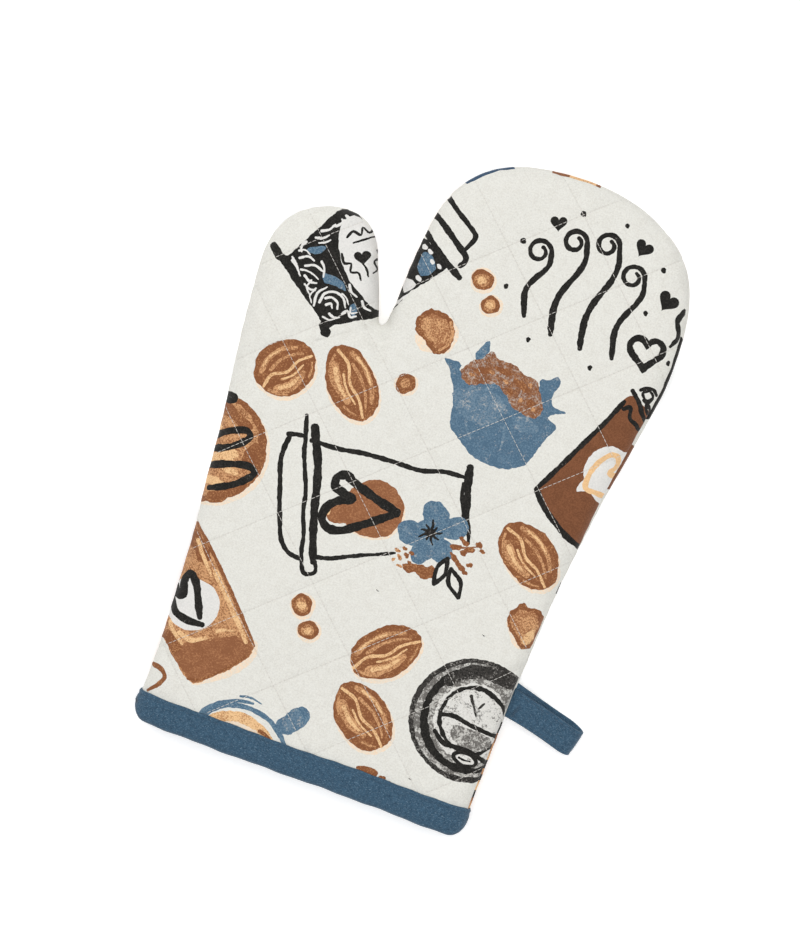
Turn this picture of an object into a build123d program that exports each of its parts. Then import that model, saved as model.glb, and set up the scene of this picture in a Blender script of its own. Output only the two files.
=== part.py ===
from build123d import *
import math
import os

# Quilted cotton oven mitt, lying flat on its back panel.
# Frame: +Z up, fingers toward +Y, cuff toward -Y, thumb toward -X, millimetres.
# The origin is the centre of the whole footprint, on the surface it lies on.
# Every layer is an inset of one envelope, so the layers nest face to face:
# printed outer cloth, batting, lining, then the hand cavity.

# ---------------------------------------------------------------- dimensions
length = 296.6          # cuff edge to fingertip
thick = 22.0            # back panel to front panel, lying flat
t_outer = 0.8           # printed outer cotton
t_batting = 4.0         # quilted wadding
t_lining = 0.7          # plain cotton lining
binding_h = 12.5        # width of bias binding seen on each face
binding_fold = 1.5      # cloth folded round the raw edge
under_lap = 1.0         # overlap of the jog where a layer goes under the binding
gap = 0.3               # clearance between bodies at a fold
crotch_y = 204.0        # bottom of the notch between thumb and fingers
finger_fold_y = 218.0   # knuckle fold, measured from the cuff edge
thumb_p = (-49.5, 212.3)            # a point on the thumb fold
thumb_d = (-0.808, -0.589)          # direction of the thumb fold, down and left
seam_thread = 0.6       # perimeter seam stitching, side of the channel
seam_inset = 1.9        # seam stitching from the outline
quilt_w = 0.6           # quilting thread width
quilt_d = 0.3           # quilting thread depth in the cloth
quilt_inset = 16.4      # quilting is modelled on the flat field only
quilt_pitch_a = 35.0    # spacing of the rising quilt lines
quilt_pitch_b = 36.0    # spacing of the falling quilt lines
quilt_angle_a = 43.0    # degrees from +X
quilt_angle_b = -43.0
quilt_phase_a = 10.6    # from the middle of the length
quilt_phase_b = 4.2
topstitch_y = 10.6      # binding stitch line, from the cuff edge
loop_w = 12.5           # hanging loop tape width
loop_t = 1.2            # hanging loop tape thickness, folded double
loop_r = 4.5            # outer radius of the bend at the end of the loop
loop_root_x = 70.9     # loop starts just off the side seam
loop_tip_x = 100.1      # centre of the bend

mid = thick / 2
half_len = length / 2

# Seam line of the mitt in plan, clockwise from the left side of the cuff,
# with y measured from the cuff edge. It runs on below the cuff, where the
# layers are cut square.
outline = [
    (-87.2, -34), (-87.3, 20), (-87.5, 40), (-88.7, 61), (-90.4, 88),
    (-93.1, 110), (-95.9, 137.7), (-98.8, 158.4), (-101.7, 179.2),
    (-104.0, 202), (-104.9, 214), (-104.2, 223), (-101.4, 231.5),
    (-96.5, 238.2), (-89.8, 243.0), (-82.5, 246.1), (-75.5, 247.2),
    (-68.6, 246.3), (-62.7, 243.0), (-58.3, 237.6), (-55.0, 230.5),
    (-52.0, 223.3), (-49.0, 215.5), (-46.4, 208.8), (-45.2, 205.2),
    (-43.9, crotch_y), (-42.7, 205.6), (-42.0, 210.0), (-41.5, 217.5),
    (-41.2, 231), (-40.3, 245), (-38.6, 258.5), (-35.8, 268), (-31.3, 276.3),
    (-25.0, 283.4), (-16.5, 289.2), (-6.5, 293.1), (6.9, 295.6), (20.8, 296.6),
    (34.7, 295.8), (48.3, 292.8), (60.6, 287.3), (70.3, 280.5), (77.2, 272.0),
    (81.9, 261), (84.4, 249), (85.4, 234), (85.2, 220.5), (83.3, 206.6),
    (80.2, 185.9), (76.8, 165.2), (74.5, 144.3), (72.2, 123.5), (71.0, 106),
    (70.2, 88), (69.5, 70), (69.3, 45), (69.0, 20), (68.8, -34),
]

# Rounded edge of the mitt: how far the surface is inside the seam line, and
# its height above the seam line.
profile = [(0.0, 0.0), (0.9, 4.5), (4.0, 8.0), (9.0, 10.2), (16.0, mid)]


# ------------------------------------------------------------------ helpers
def inset(points, d):
    """The closed outline moved inward by d, corner for corner."""
    out, n = [], len(points)
    for i in range(n):
        p, q, r = points[i - 1], points[i], points[(i + 1) % n]
        ax, ay = q[0] - p[0], q[1] - p[1]
        bx, by = r[0] - q[0], r[1] - q[1]
        la, lb = math.hypot(ax, ay), math.hypot(bx, by)
        # inward normals of a clockwise outline
        n1 = (ay / la, -ax / la)
        n2 = (by / lb, -bx / lb)
        k = 1 + n1[0] * n2[0] + n1[1] * n2[1]
        out.append((q[0] + d * (n1[0] + n2[0]) / k, q[1] + d * (n1[1] + n2[1]) / k))
    return out


def inset_profile(t):
    """The edge profile moved inward by t along its normal."""
    pts = profile + [(profile[-1][0] + 20, profile[-1][1])]
    lines = []
    for a, b in zip(pts, pts[1:]):
        dx, dz = b[0] - a[0], b[1] - a[1]
        ln = math.hypot(dx, dz)
        nx, nz = dz / ln, -dx / ln
        lines.append(((a[0] + t * nx, a[1] + t * nz), (dx / ln, dz / ln)))

    def cross(l1, l2):
        (p, u), (q, v) = l1, l2
        den = u[0] * v[1] - u[1] * v[0]
        s = ((q[0] - p[0]) * v[1] - (q[1] - p[1]) * v[0]) / den
        return (p[0] + s * u[0], p[1] + s * u[1])

    first = cross(lines[0], ((0, 0), (1, 0)))
    return [first] + [cross(lines[i], lines[i + 1]) for i in range(len(lines) - 1)]


def polyhedron(rings):
    """Closed solid through stacked rings of the same number of points."""
    faces = [
        Face(Wire.make_polygon([Vector(*p) for p in rings[0]], close=True)),
        Face(Wire.make_polygon([Vector(*p) for p in rings[-1]], close=True)),
    ]
    n = len(rings[0])
    for low, high in zip(rings, rings[1:]):
        for i in range(n):
            j = (i + 1) % n
            faces.append(
                Face(Wire.make_polygon(
                    [Vector(*low[i]), Vector(*low[j]), Vector(*high[j]), Vector(*high[i])],
                    close=True,
                ))
            )
    return Solid(Shell(faces))


def place(x, y, z):
    return (x, y - half_len, z)


def envelope(t):
    """Upper half of the mitt's volume, moved inward by t: from the seam plane up."""
    rings = []
    for d, h in inset_profile(t):
        rings.append([place(x, y, mid + h) for x, y in inset(outline, d)])
    return polyhedron(rings)


def block(x0, x1, y0, y1, z0=-5.0, z1=None):
    """Box between plan limits, y from the cuff edge."""
    z1 = thick + 5 if z1 is None else z1
    return Pos((x0 + x1) / 2, (y0 + y1) / 2 - half_len, (z0 + z1) / 2) * Box(
        x1 - x0, y1 - y0, z1 - z0
    )


def prism(points, z0=-5.0, z1=None):
    """Vertical prism on a plan polygon, y from the cuff edge."""
    z1 = thick + 5 if z1 is None else z1
    face = Face(Wire.make_polygon([Vector(*place(x, y, z0)) for x, y in points], close=True))
    return extrude(face, amount=z1 - z0, dir=(0, 0, 1))


def solids_of(shape):
    return [s for s in shape.solids() if s.volume > 0.05]


def clean(shape):
    """The solids of a result, without slivers, as one solid or a group."""
    found = solids_of(shape)
    return found[0] if len(found) == 1 else Compound(children=found)


def flip(shape):
    """The same layer on the back half: mirrored in the seam plane."""
    return mirror(shape, about=Plane((0, 0, mid), z_dir=(0, 0, 1)))


# -------------------------------------------------- regions of the three bodies
nx, ny = thumb_d[1], -thumb_d[0]        # normal of the thumb fold, toward the tip


def thumb_region(shift):
    """Plan region beyond the thumb fold, started shift further along its normal."""
    px, py = thumb_p[0] + nx * shift, thumb_p[1] + ny * shift
    s = (-45.2 - px) / thumb_d[0]
    near = (-45.2, py + s * thumb_d[1])
    far = (px + 95 * thumb_d[0], py + 95 * thumb_d[1])
    return prism([near, far, (far[0], 262), (-45.2, 262)])


def finger_region(shift):
    """Plan region beyond the knuckle fold."""
    return block(-43.4, 120, finger_fold_y + shift, 330)


bodies = {
    "thumb": lambda s: s & thumb_region(gap / 2),
    "fingers": lambda s: s & finger_region(gap / 2),
    "palm": lambda s: (s & block(-150, 150, 0, 330)) - thumb_region(-gap / 2)
    - finger_region(-gap / 2),
}

nodes = {}

# --------------------------------------------------------------- nested layers
d1 = t_outer
d2 = d1 + t_batting
d3 = d2 + t_lining
e_out, e_1, e_2, e_3 = (envelope(t) for t in (0.0, d1, d2, d3))
e_1b, e_2b = envelope(d1 + t_outer), envelope(d2 - t_lining)

past = block(-150, 150, binding_h, 330)
under = block(-150, 150, binding_fold, binding_h + under_lap)
covered = block(-150, 150, binding_fold, 330)

outer = ((e_out - e_1) & past) + ((e_1 - e_1b) & under)
lining = ((e_2 - e_3) & past) + ((e_2b - e_2) & under)

# Seam stitching: a channel round the outline, half in each batting.
ring_a = inset(outline, seam_inset)
ring_b = inset(outline, seam_inset + seam_thread)
seam = prism(ring_a, mid - seam_thread / 2, mid + seam_thread / 2) - prism(
    ring_b, mid - seam_thread / 2, mid + seam_thread / 2
)
seam = seam & covered
batting = ((e_1 - e_2) & covered) - ((e_1 - e_1b) & under) - ((e_2b - e_2) & under)
batting = batting - prism(ring_a, mid - 1, mid + seam_thread / 2) + (
    (batting & prism(ring_b, mid - 1, mid + seam_thread / 2))
) + (batting - prism(ring_a, mid - 1, mid + seam_thread / 2))

# Quilting: straight stitch lines in a diamond grid on the flat field.
field = inset(outline, quilt_inset)
field_solid = prism(field, thick - quilt_d, thick) & block(-150, 150, binding_h + 3, 330)


def quilt_lines(angle, pitch, phase):
    a = math.radians(angle)
    made = None
    for k in range(-12, 13):
        off = phase + k * pitch
        cx, cy = -math.sin(a) * off, math.cos(a) * off + half_len
        strip = Pos(cx, cy - half_len, thick - quilt_d / 2) * Rot(0, 0, angle) * Box(
            700, quilt_w, quilt_d
        )
        made = strip if made is None else made + strip
    return made


quilt = (
    quilt_lines(quilt_angle_a, quilt_pitch_a, quilt_phase_a)
    + quilt_lines(quilt_angle_b, quilt_pitch_b, quilt_phase_b)
) & field_solid
outer_quilted = outer - quilt

for body, cut in bodies.items():
    for name, whole in (("outer", outer_quilted), ("batting", batting), ("lining", lining), ("quilting", quilt)):
        part = clean(cut(whole))
        nodes[f"{name}_{body}_front"] = part
        nodes[f"{name}_{body}_back"] = clean(flip(part))
    nodes[f"seam_stitching_{body}"] = clean(cut(seam))

# ------------------------------------------------------------- cuff binding
# Bias tape folded round the mouth: one leg on each face of the wall, with its
# stitch line sunk in both outer legs.
zone = block(-150, 150, 0, binding_h)
leg = ((e_out - e_3) & zone) - ((e_1 - e_2) & covered)
stitch_zone = block(-150, 150, topstitch_y - 0.3, topstitch_y + 0.3)
stitch = (e_out - envelope(quilt_d)) & stitch_zone
leg = leg - stitch
nodes["cuff_binding"] = clean(leg + flip(leg))
nodes["binding_topstitch"] = clean(stitch + flip(stitch))

# ------------------------------------------------------------- hanging loop
# One folded tape, a teardrop seen from the end, drooping from the side seam to
# the surface. The eye runs right through along Y.
tip_z = loop_r + 0.15
root_top, root_low = mid + loop_t + 0.1, mid - loop_t - 0.1


def teardrop(r, x_root, top, low):
    """Closed profile in XZ: two straight leaves tangent to the end bend."""
    def tangent(z, up):
        dx, dz = x_root - loop_tip_x, z - tip_z
        dist = math.hypot(dx, dz)
        base = math.atan2(dz, dx)
        off = math.acos(r / dist)
        a = base - off if up else base + off
        return (loop_tip_x + r * math.cos(a), tip_z + r * math.sin(a))
    p_top, p_low = tangent(top, True), tangent(low, False)
    return p_top, p_low


def tear_face(r, x_root, top, low, y):
    p_top, p_low = teardrop(r, x_root, top, low)
    v = lambda p: Vector(p[0], y, p[1])
    end = (loop_tip_x + r, tip_z)
    edges = [
        Edge.make_line(v((x_root, top)), v(p_top)),
        Edge.make_three_point_arc(v(p_top), v(end), v(p_low)),
        Edge.make_line(v(p_low), v((x_root, low))),
        Edge.make_line(v((x_root, low)), v((x_root, top))),
    ]
    return Face(Wire(edges))


body_y0 = 40 - half_len
outside = extrude(tear_face(loop_r, loop_root_x, root_top, root_low, body_y0), amount=45, dir=(0, 1, 0))
eye = extrude(
    tear_face(loop_r - loop_t, loop_root_x + 8.0, mid - 1.0 + 0.35, mid - 1.0 - 1.1, body_y0 - 5),
    amount=60, dir=(0, 1, 0),
)
plan = prism([
    (loop_root_x - 1, 74.2), (loop_root_x - 1, 58.0),
    (100.6, 51.0), (106.0, 50.2), (106.0, 65.6), (98.0, 67.9),
])
loop = (outside - eye) & plan
bar_x0, bar_x1 = loop_root_x + 2.2, loop_root_x + 3.4
bar_cut = block(bar_x0, bar_x1, 60.0, 70.6, mid - 8, mid + 8) & (
    extrude(tear_face(loop_r, loop_root_x, root_top, root_low, body_y0), amount=45, dir=(0, 1, 0))
)
deep = 0.35
bar_core = Pos(0, 0, 0) * extrude(
    tear_face(loop_r - deep, loop_root_x, root_top - deep, root_low + deep, body_y0 - 5),
    amount=60, dir=(0, 1, 0),
)
bar = bar_cut - bar_core
nodes["hanging_loop"] = clean(loop - bar)
nodes["loop_bar_tack"] = clean(bar & loop)

# ------------------------------------------------------------------- write
os.makedirs("parts", exist_ok=True)
for name, shape in nodes.items():
    shape.label = name
    export_step(shape, f"parts/{name}.step")
print(len(nodes), "nodes")
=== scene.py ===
import bpy
import math
import numpy as np
from mathutils import Vector, Matrix, noise
from mathutils.geometry import delaunay_2d_cdt
from mathutils.kdtree import KDTree


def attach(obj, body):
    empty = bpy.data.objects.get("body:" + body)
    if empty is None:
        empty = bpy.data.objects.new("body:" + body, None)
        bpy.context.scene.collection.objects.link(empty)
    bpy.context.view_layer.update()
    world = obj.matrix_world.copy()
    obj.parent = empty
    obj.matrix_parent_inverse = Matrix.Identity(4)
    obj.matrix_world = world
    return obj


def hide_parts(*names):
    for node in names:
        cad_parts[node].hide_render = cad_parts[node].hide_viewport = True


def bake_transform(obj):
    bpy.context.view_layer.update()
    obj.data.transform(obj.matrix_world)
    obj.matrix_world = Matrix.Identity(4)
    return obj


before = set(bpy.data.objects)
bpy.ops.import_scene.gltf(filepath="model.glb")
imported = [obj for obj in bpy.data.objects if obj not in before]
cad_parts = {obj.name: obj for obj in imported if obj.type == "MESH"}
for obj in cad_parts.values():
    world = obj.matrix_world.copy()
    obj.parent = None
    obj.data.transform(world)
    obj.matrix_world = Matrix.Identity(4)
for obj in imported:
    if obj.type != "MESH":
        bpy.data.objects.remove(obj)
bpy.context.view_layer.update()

# Everything is worked out in millimetres on the flat drawing of the mitt: x across, y up from the cuff edge,
# z up from the table. put() turns that into metres in the row frame.
OY = 148.3
Z_MID = 11.0
CROTCH = np.array([-43.9, 204.0])
CUT_DIR = np.array([-0.808, -0.589])
CUT_N = np.array([-0.589, 0.808])
A43 = math.radians(43.0)
S43, C43 = math.sin(A43), math.cos(A43)
PA, PB, FA, FB = 35.0, 36.0, 10.6, 4.2

OUT = [(-87.2, -34), (-87.3, 20), (-87.5, 40), (-88.7, 61), (-90.4, 88), (-93.1, 110), (-95.9, 137.7), (-98.8, 158.4), (-101.7, 179.2),
       (-104.0, 202), (-104.9, 214), (-104.2, 223), (-101.4, 231.5), (-96.5, 238.2), (-89.8, 243.0), (-82.5, 246.1), (-75.5, 247.2),
       (-68.6, 246.3), (-62.7, 243.0), (-58.3, 237.6), (-55.0, 230.5), (-52.0, 223.3), (-49.0, 215.5), (-46.4, 208.8), (-45.2, 205.2),
       (-43.9, 204), (-42.7, 205.6), (-42.0, 210.0), (-41.5, 217.5), (-41.2, 231), (-40.3, 245), (-38.6, 258.5), (-35.8, 268),
       (-31.3, 276.3), (-25.0, 283.4), (-16.5, 289.2), (-6.5, 293.1), (6.9, 295.6), (20.8, 296.6), (34.7, 295.8), (48.3, 292.8),
       (60.6, 287.3), (70.3, 280.5), (77.2, 272.0), (81.9, 261), (84.4, 249), (85.4, 234), (85.2, 220.5), (83.3, 206.6), (80.2, 185.9),
       (76.8, 165.2), (74.5, 144.3), (72.2, 123.5), (71.0, 106), (70.2, 88), (69.5, 70), (69.3, 45), (69.0, 20), (68.8, -34)]


def crom(P, step, closed=False):
    """Smooth curve through the points (centripetal), about step apart."""
    P = np.array(P, float)
    n = len(P)
    out = []
    for i in range(n if closed else n - 1):
        p1, p2 = P[i], P[(i + 1) % n]
        p0 = P[i - 1] if (i > 0 or closed) else 2 * P[0] - P[1]
        p3 = P[(i + 2) % n] if (i + 2 < n or closed) else 2 * P[-1] - P[-2]
        d0, d1, d2 = [max(np.linalg.norm(b - a), 1e-6) ** 0.5 for a, b in ((p0, p1), (p1, p2), (p2, p3))]
        t1 = d0
        t2 = t1 + d1
        t3 = t2 + d2
        m = max(1, int(math.ceil(np.linalg.norm(p2 - p1) / step)))
        for k in range(m):
            t = t1 + (t2 - t1) * k / m
            a1 = (t1 - t) / t1 * p0 + t / t1 * p1
            a2 = (t2 - t) / d1 * p1 + (t - t1) / d1 * p2
            a3 = (t3 - t) / d2 * p2 + (t - t2) / d2 * p3
            b1 = (t2 - t) / t2 * a1 + t / t2 * a2
            b2 = (t3 - t) / (t3 - t1) * a2 + (t - t1) / (t3 - t1) * a3
            out.append((t2 - t) / d1 * b1 + (t - t1) / d1 * b2)
    if not closed:
        out.append(P[-1])
    return np.array(out)


LINE = crom(OUT, 1.0)
SEG = LINE[1:] - LINE[:-1]
SEGL = np.linalg.norm(SEG, axis=1)
SEG_N = np.stack([SEG[:, 1], -SEG[:, 0]], 1) / SEGL[:, None]  # inward, the outline runs clockwise
VN = np.vstack([SEG_N[:1], SEG_N[:-1] + SEG_N[1:], SEG_N[-1:]])
VN /= np.linalg.norm(VN, axis=1)[:, None]


def in_poly(P, poly):
    """Nonzero winding, for many points at once."""
    P = np.asarray(P, float)
    wn = np.zeros(len(P), int)
    lo, hi = poly.min(0), poly.max(0)
    idx = np.where((P[:, 0] >= lo[0]) & (P[:, 0] <= hi[0]) & (P[:, 1] >= lo[1]) & (P[:, 1] <= hi[1]))[0]
    if not len(idx):
        return wn != 0
    x, y = P[idx, 0], P[idx, 1]
    w = np.zeros(len(idx), int)
    n = len(poly)
    for i in range(n):
        (x1, y1), (x2, y2) = poly[i], poly[(i + 1) % n]
        if y1 == y2:
            continue
        side = (x2 - x1) * (y - y1) - (x - x1) * (y2 - y1)
        w += ((y1 <= y) & (y < y2) & (side > 0)).astype(int)
        w -= ((y2 <= y) & (y < y1) & (side < 0)).astype(int)
    wn[idx] = w
    return wn != 0


_kd = KDTree(len(LINE))
for _i, _p in enumerate(LINE):
    _kd.insert((_p[0], _p[1], 0), _i)
_kd.balance()


def nearest(P):
    """Distance to the outline, the nearest point on it, the inward direction there, and inside or not."""
    P = np.asarray(P, float)
    near_v = np.array([_kd.find((x, y, 0))[1] for x, y in P.tolist()], int)
    best = np.full(len(P), 1e18)
    K = np.zeros(len(P), int)
    TT = np.zeros(len(P))
    for o in (-2, -1, 0, 1):
        k = np.clip(near_v + o, 0, len(SEG) - 1)
        rel = P - LINE[k]
        t = np.clip((rel * SEG[k]).sum(1) / SEGL[k] ** 2, 0, 1)
        dd = ((rel - t[:, None] * SEG[k]) ** 2).sum(1)
        up = dd < best
        best[up], K[up], TT[up] = dd[up], k[up], t[up]
    Q = LINE[K] + TT[:, None] * SEG[K]
    G = VN[K] * (1 - TT)[:, None] + VN[K + 1] * TT[:, None]
    G /= np.linalg.norm(G, axis=1)[:, None]
    D = np.sqrt(best)
    inside = ((P - Q) * G).sum(1) >= 0
    far = D > 0.4
    sgn = np.where(inside, 1.0, -1.0)
    G[far] = ((P[far] - Q[far]) / D[far, None]) * sgn[far, None]
    return D, Q, G, inside


def smooth(a, b, x):
    t = np.clip((x - a) / (b - a), 0, 1)
    return t * t * (3 - 2 * t)


DW = 16.0


def thick(y):
    """Whole thickness: the mouth is squashed a little flatter than the palm."""
    return 17.6 + 4.2 * smooth(4, 85, y)


def prof(d):
    """Rise of the edge, 0 to 1, and its slope per mm."""
    u = np.clip(d / DW, 1e-3, 1)
    n = 2.3
    s = (1 - (1 - u) ** n) ** (1 / n)
    ds = (1 - (1 - u) ** n) ** (1 / n - 1) * (1 - u) ** (n - 1) / DW
    s = np.where(d <= DW * 1e-3, s * d / (DW * 1e-3), s)
    return s, ds


_d = DW * np.linspace(0, 1, 600) ** 3
_z = 10.6 * prof(_d)[0]
_a = np.concatenate([[0], np.cumsum(np.hypot(np.diff(_d), np.diff(_z)))])


def arc(d):
    return np.interp(d, _d, _a)


ARC_EXTRA = _a[-1] - DW

XL, XR = -87.25, 68.9


def edge_y(x):
    """Lowest line of the bound mouth, with rounded corners."""
    dd = np.minimum(x - XL, XR - x)
    c = np.clip(5.2 - dd, 0, 5.2)
    return 0.9 + 5.2 - np.sqrt(5.2 ** 2 - c ** 2) + 0.35 * np.sin(x * 0.045 + 0.6) + 0.16 * np.sin(x * 0.21 + 1.0) + 0.10 * np.sin(x * 0.47)


def hem_y(x):
    """Upper edge of the bound mouth."""
    return 14.0 + 0.9 * smooth(-40, 40, x) + 0.18 * np.sin(x * 0.11)


def seam_inset(P):
    """How far up the front side the joining seam lies, as a plan inset."""
    x, y = P[:, 0], P[:, 1]
    s = 1.1 * np.exp(-(((x + 24) / 15) ** 2 + ((y - 284) / 14) ** 2))
    s += 0.9 * smooth(280, 290, y) * smooth(-20, 5, x) * (1 - smooth(45, 70, x))
    s += 1.0 * smooth(60, 80, x) * smooth(120, 200, y) * (1 - smooth(262, 285, y))
    s += 0.35 * smooth(60, 66, x) * (1 - smooth(100, 140, y))
    return np.where(s < 0.12, 0.0, s)


# ---- quilted puff from a cloth simulation -------------------------------------------------------------------
def ab(P):
    X, Y = P[:, 0], P[:, 1] - OY
    return -S43 * X + C43 * Y - FA, S43 * X + C43 * Y - FB


def from_ab(a, b):
    a, b = a + FA, b + FB
    return np.stack([(b - a) / (2 * S43), (a + b) / (2 * C43) + OY], -1)


NA = 9
I0, I1, J0, J1 = -7 * NA, 7 * NA, -7 * NA, 7 * NA


def simulate(seed, pressure):
    """A coarse cloth pinned along every quilting line, the seam and the hem, blown up over the wadding."""
    ii, jj = np.meshgrid(np.arange(I0, I1 + 1), np.arange(J0, J1 + 1), indexing="ij")
    P = from_ab(ii * PA / NA, jj * PB / NA).reshape(-1, 2)
    D, Q, G, ins = nearest(P)
    ok = ins & (P[:, 1] > 2)
    field = np.zeros(ii.shape)
    num = -np.ones(len(P), int)
    num[ok] = np.arange(ok.sum())
    n2 = num.reshape(ii.shape)
    quads = []
    for i in range(ii.shape[0] - 1):
        row = np.stack([n2[i, :-1], n2[i + 1, :-1], n2[i + 1, 1:], n2[i, 1:]], 1)
        quads += [tuple(r) for r in row[(row >= 0).all(1)]]
    used = np.zeros(ok.sum(), bool)
    for f in quads:
        used[list(f)] = True
    h = prof(D)[0] * 10.6
    rng = np.random.RandomState(seed)
    v = np.column_stack([P, h])[ok] * 0.01
    v[:, 2] += rng.uniform(0, 0.0006, len(v))
    me = bpy.data.meshes.new("sim")
    me.from_pydata(v.tolist(), [], quads)
    ob = bpy.data.objects.new("sim", me)
    bpy.context.scene.collection.objects.link(ob)
    pin = ((ii % NA == 0) | (jj % NA == 0)).reshape(-1) | (D < 3.0) | (P[:, 1] < 16)
    pin = pin[ok] | ~used
    vg = ob.vertex_groups.new(name="pin")
    vg.add([int(k) for k in np.where(pin)[0]], 1.0, "REPLACE")
    md = ob.modifiers.new("cloth", "CLOTH")
    cs = md.settings
    cs.quality = 6
    cs.mass = 0.25
    cs.vertex_group_mass = "pin"
    cs.tension_stiffness = 12
    cs.compression_stiffness = 12
    cs.shear_stiffness = 6
    cs.bending_stiffness = 0.3
    cs.use_pressure = True
    cs.uniform_pressure_force = pressure
    cs.shrink_min = -0.02
    cs.effector_weights.gravity = 0
    md.collision_settings.use_collision = False
    md.collision_settings.use_self_collision = False
    sc = bpy.context.scene
    sc.frame_start, sc.frame_end = 1, 24
    md.point_cache.frame_start, md.point_cache.frame_end = 1, 24
    for f in range(1, 25):
        sc.frame_set(f)
    dg = bpy.context.evaluated_depsgraph_get()
    ev = ob.evaluated_get(dg)
    w = np.empty(len(me.vertices) * 3)
    ev.data.vertices.foreach_get("co", w)
    w = w.reshape(-1, 3)
    S, dS = prof(D[ok])
    N = np.column_stack([-(dS * 10.6)[:, None] * G[ok], np.ones(len(v))])
    N /= np.linalg.norm(N, axis=1)[:, None]
    up = ((w - v) * N).sum(1) * 100
    up[pin] = 0
    full = np.zeros(len(P))
    full[ok] = up
    field = full.reshape(ii.shape)
    bpy.data.objects.remove(ob)
    bpy.data.meshes.remove(me)
    sc.frame_set(1)
    top = np.percentile(field[field > 0], 97) if (field > 0).any() else 1.0
    print("cloth: highest puff", round(float(field.max()), 2), "97% at", round(float(top), 2), "lowest", round(float(field.min()), 2))
    return np.clip(field / max(top, 1e-6), 0, 1.25)


PUFF = {"F": simulate(3, 2.2), "B": simulate(8, 2.2)}


def puff(P, side):
    a, b = ab(P)
    F = PUFF[side]
    u, v = a * NA / PA - I0, b * NA / PB - J0
    i = np.clip(np.floor(u).astype(int), 0, F.shape[0] - 2)
    j = np.clip(np.floor(v).astype(int), 0, F.shape[1] - 2)
    fu, fv = np.clip(u - i, 0, 1), np.clip(v - j, 0, 1)
    return (F[i, j] * (1 - fu) * (1 - fv) + F[i + 1, j] * fu * (1 - fv) + F[i, j + 1] * (1 - fu) * fv + F[i + 1, j + 1] * fu * fv)


def line_dist(P):
    a, b = ab(P)
    la = np.abs((a + PA / 2) % PA - PA / 2)
    lb = np.abs((b + PB / 2) % PB - PB / 2)
    return la, lb, a, b


def ridge(P, c, ang, length, width, amp):
    """One soft fold: centre, direction in degrees, half length, half width, height."""
    ca, sa = math.cos(math.radians(ang)), math.sin(math.radians(ang))
    dx, dy = P[:, 0] - c[0], P[:, 1] - c[1]
    al, ac = dx * ca + dy * sa, -dx * sa + dy * ca
    ac = ac + 0.006 * al * al * (1 if ang > 0 else -1)
    return amp * np.exp(-(ac / width) ** 2 - (al / length) ** 2)


FOLDS = {"F": [((-52, 196), 35, 11, 2.2, -0.9), ((-40, 193), -70, 12, 2.4, -0.8), ((-33, 200), -28, 11, 2.0, -0.55), ((-60, 203), 20, 8, 1.8, -0.45),
               ((-46, 187), 80, 9, 3.0, 0.4), ((60, 120), 8, 14, 2.6, -0.3), ((-82, 120), 12, 12, 2.4, -0.35), ((66, 190), -15, 12, 2.4, -0.35),
               ((-30, 262), 60, 12, 2.4, -0.35), ((-92, 200), -10, 10, 2.2, -0.35), ((-70, 60), 20, 20, 3.5, 0.25), ((40, 40), -16, 22, 4, 0.25)],
         "B": [((-50, 196), 30, 12, 2.4, -0.8), ((-38, 192), -65, 12, 2.6, -0.7), ((58, 118), 10, 16, 3, -0.4), ((-80, 130), 8, 14, 3, -0.4)]}


def wobble(P, scale, seed):
    return np.array([noise.noise(Vector((x * scale, y * scale, seed))) for x, y in P])


AMP = {"F": 1.05, "B": 0.9}


def relief(P, side, fine=True):
    """Height over the plain surface: puffs, stitch grooves, folds, gathers at the hem."""
    pf = puff(P, side)
    la, lb, a, b = line_dist(P)
    h = AMP[side] * pf
    g = np.maximum(np.exp(-(la / 1.0) ** 2), np.exp(-(lb / 1.0) ** 2))
    h = h - 0.22 * g
    # small gathers that run off each stitched line
    w1 = wobble(P, 0.16, 3.1) * 0.22 + wobble(P, 0.07, 9.3) * 0.25
    if fine:
        pa = np.sin(b * 1.15 + 2.1 * np.sin(b * 0.21)) * np.exp(-(la / 3.2) ** 1.5)
        pb = np.sin(a * 1.05 + 2.3 * np.sin(a * 0.19)) * np.exp(-(lb / 3.2) ** 1.5)
        h = h + 0.085 * (pa + pb) + w1
    else:
        h = h + w1
    hy = hem_y(P[:, 0])
    e = np.exp(-np.clip(P[:, 1] - hy, 0, None) / 5.0)
    h = h + e * (0.22 * np.sin(P[:, 0] * 0.82 + 1.3 * np.sin(P[:, 0] * 0.17)) + 0.1 * np.sin(P[:, 0] * 1.9)) - 0.35 * np.exp(-np.clip(P[:, 1] - hy, 0, None) / 1.6)
    for f in FOLDS[side]:
        h = h + ridge(P, *f)
    return h * smooth(hy - 3, hy + 0.5, P[:, 1])


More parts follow.
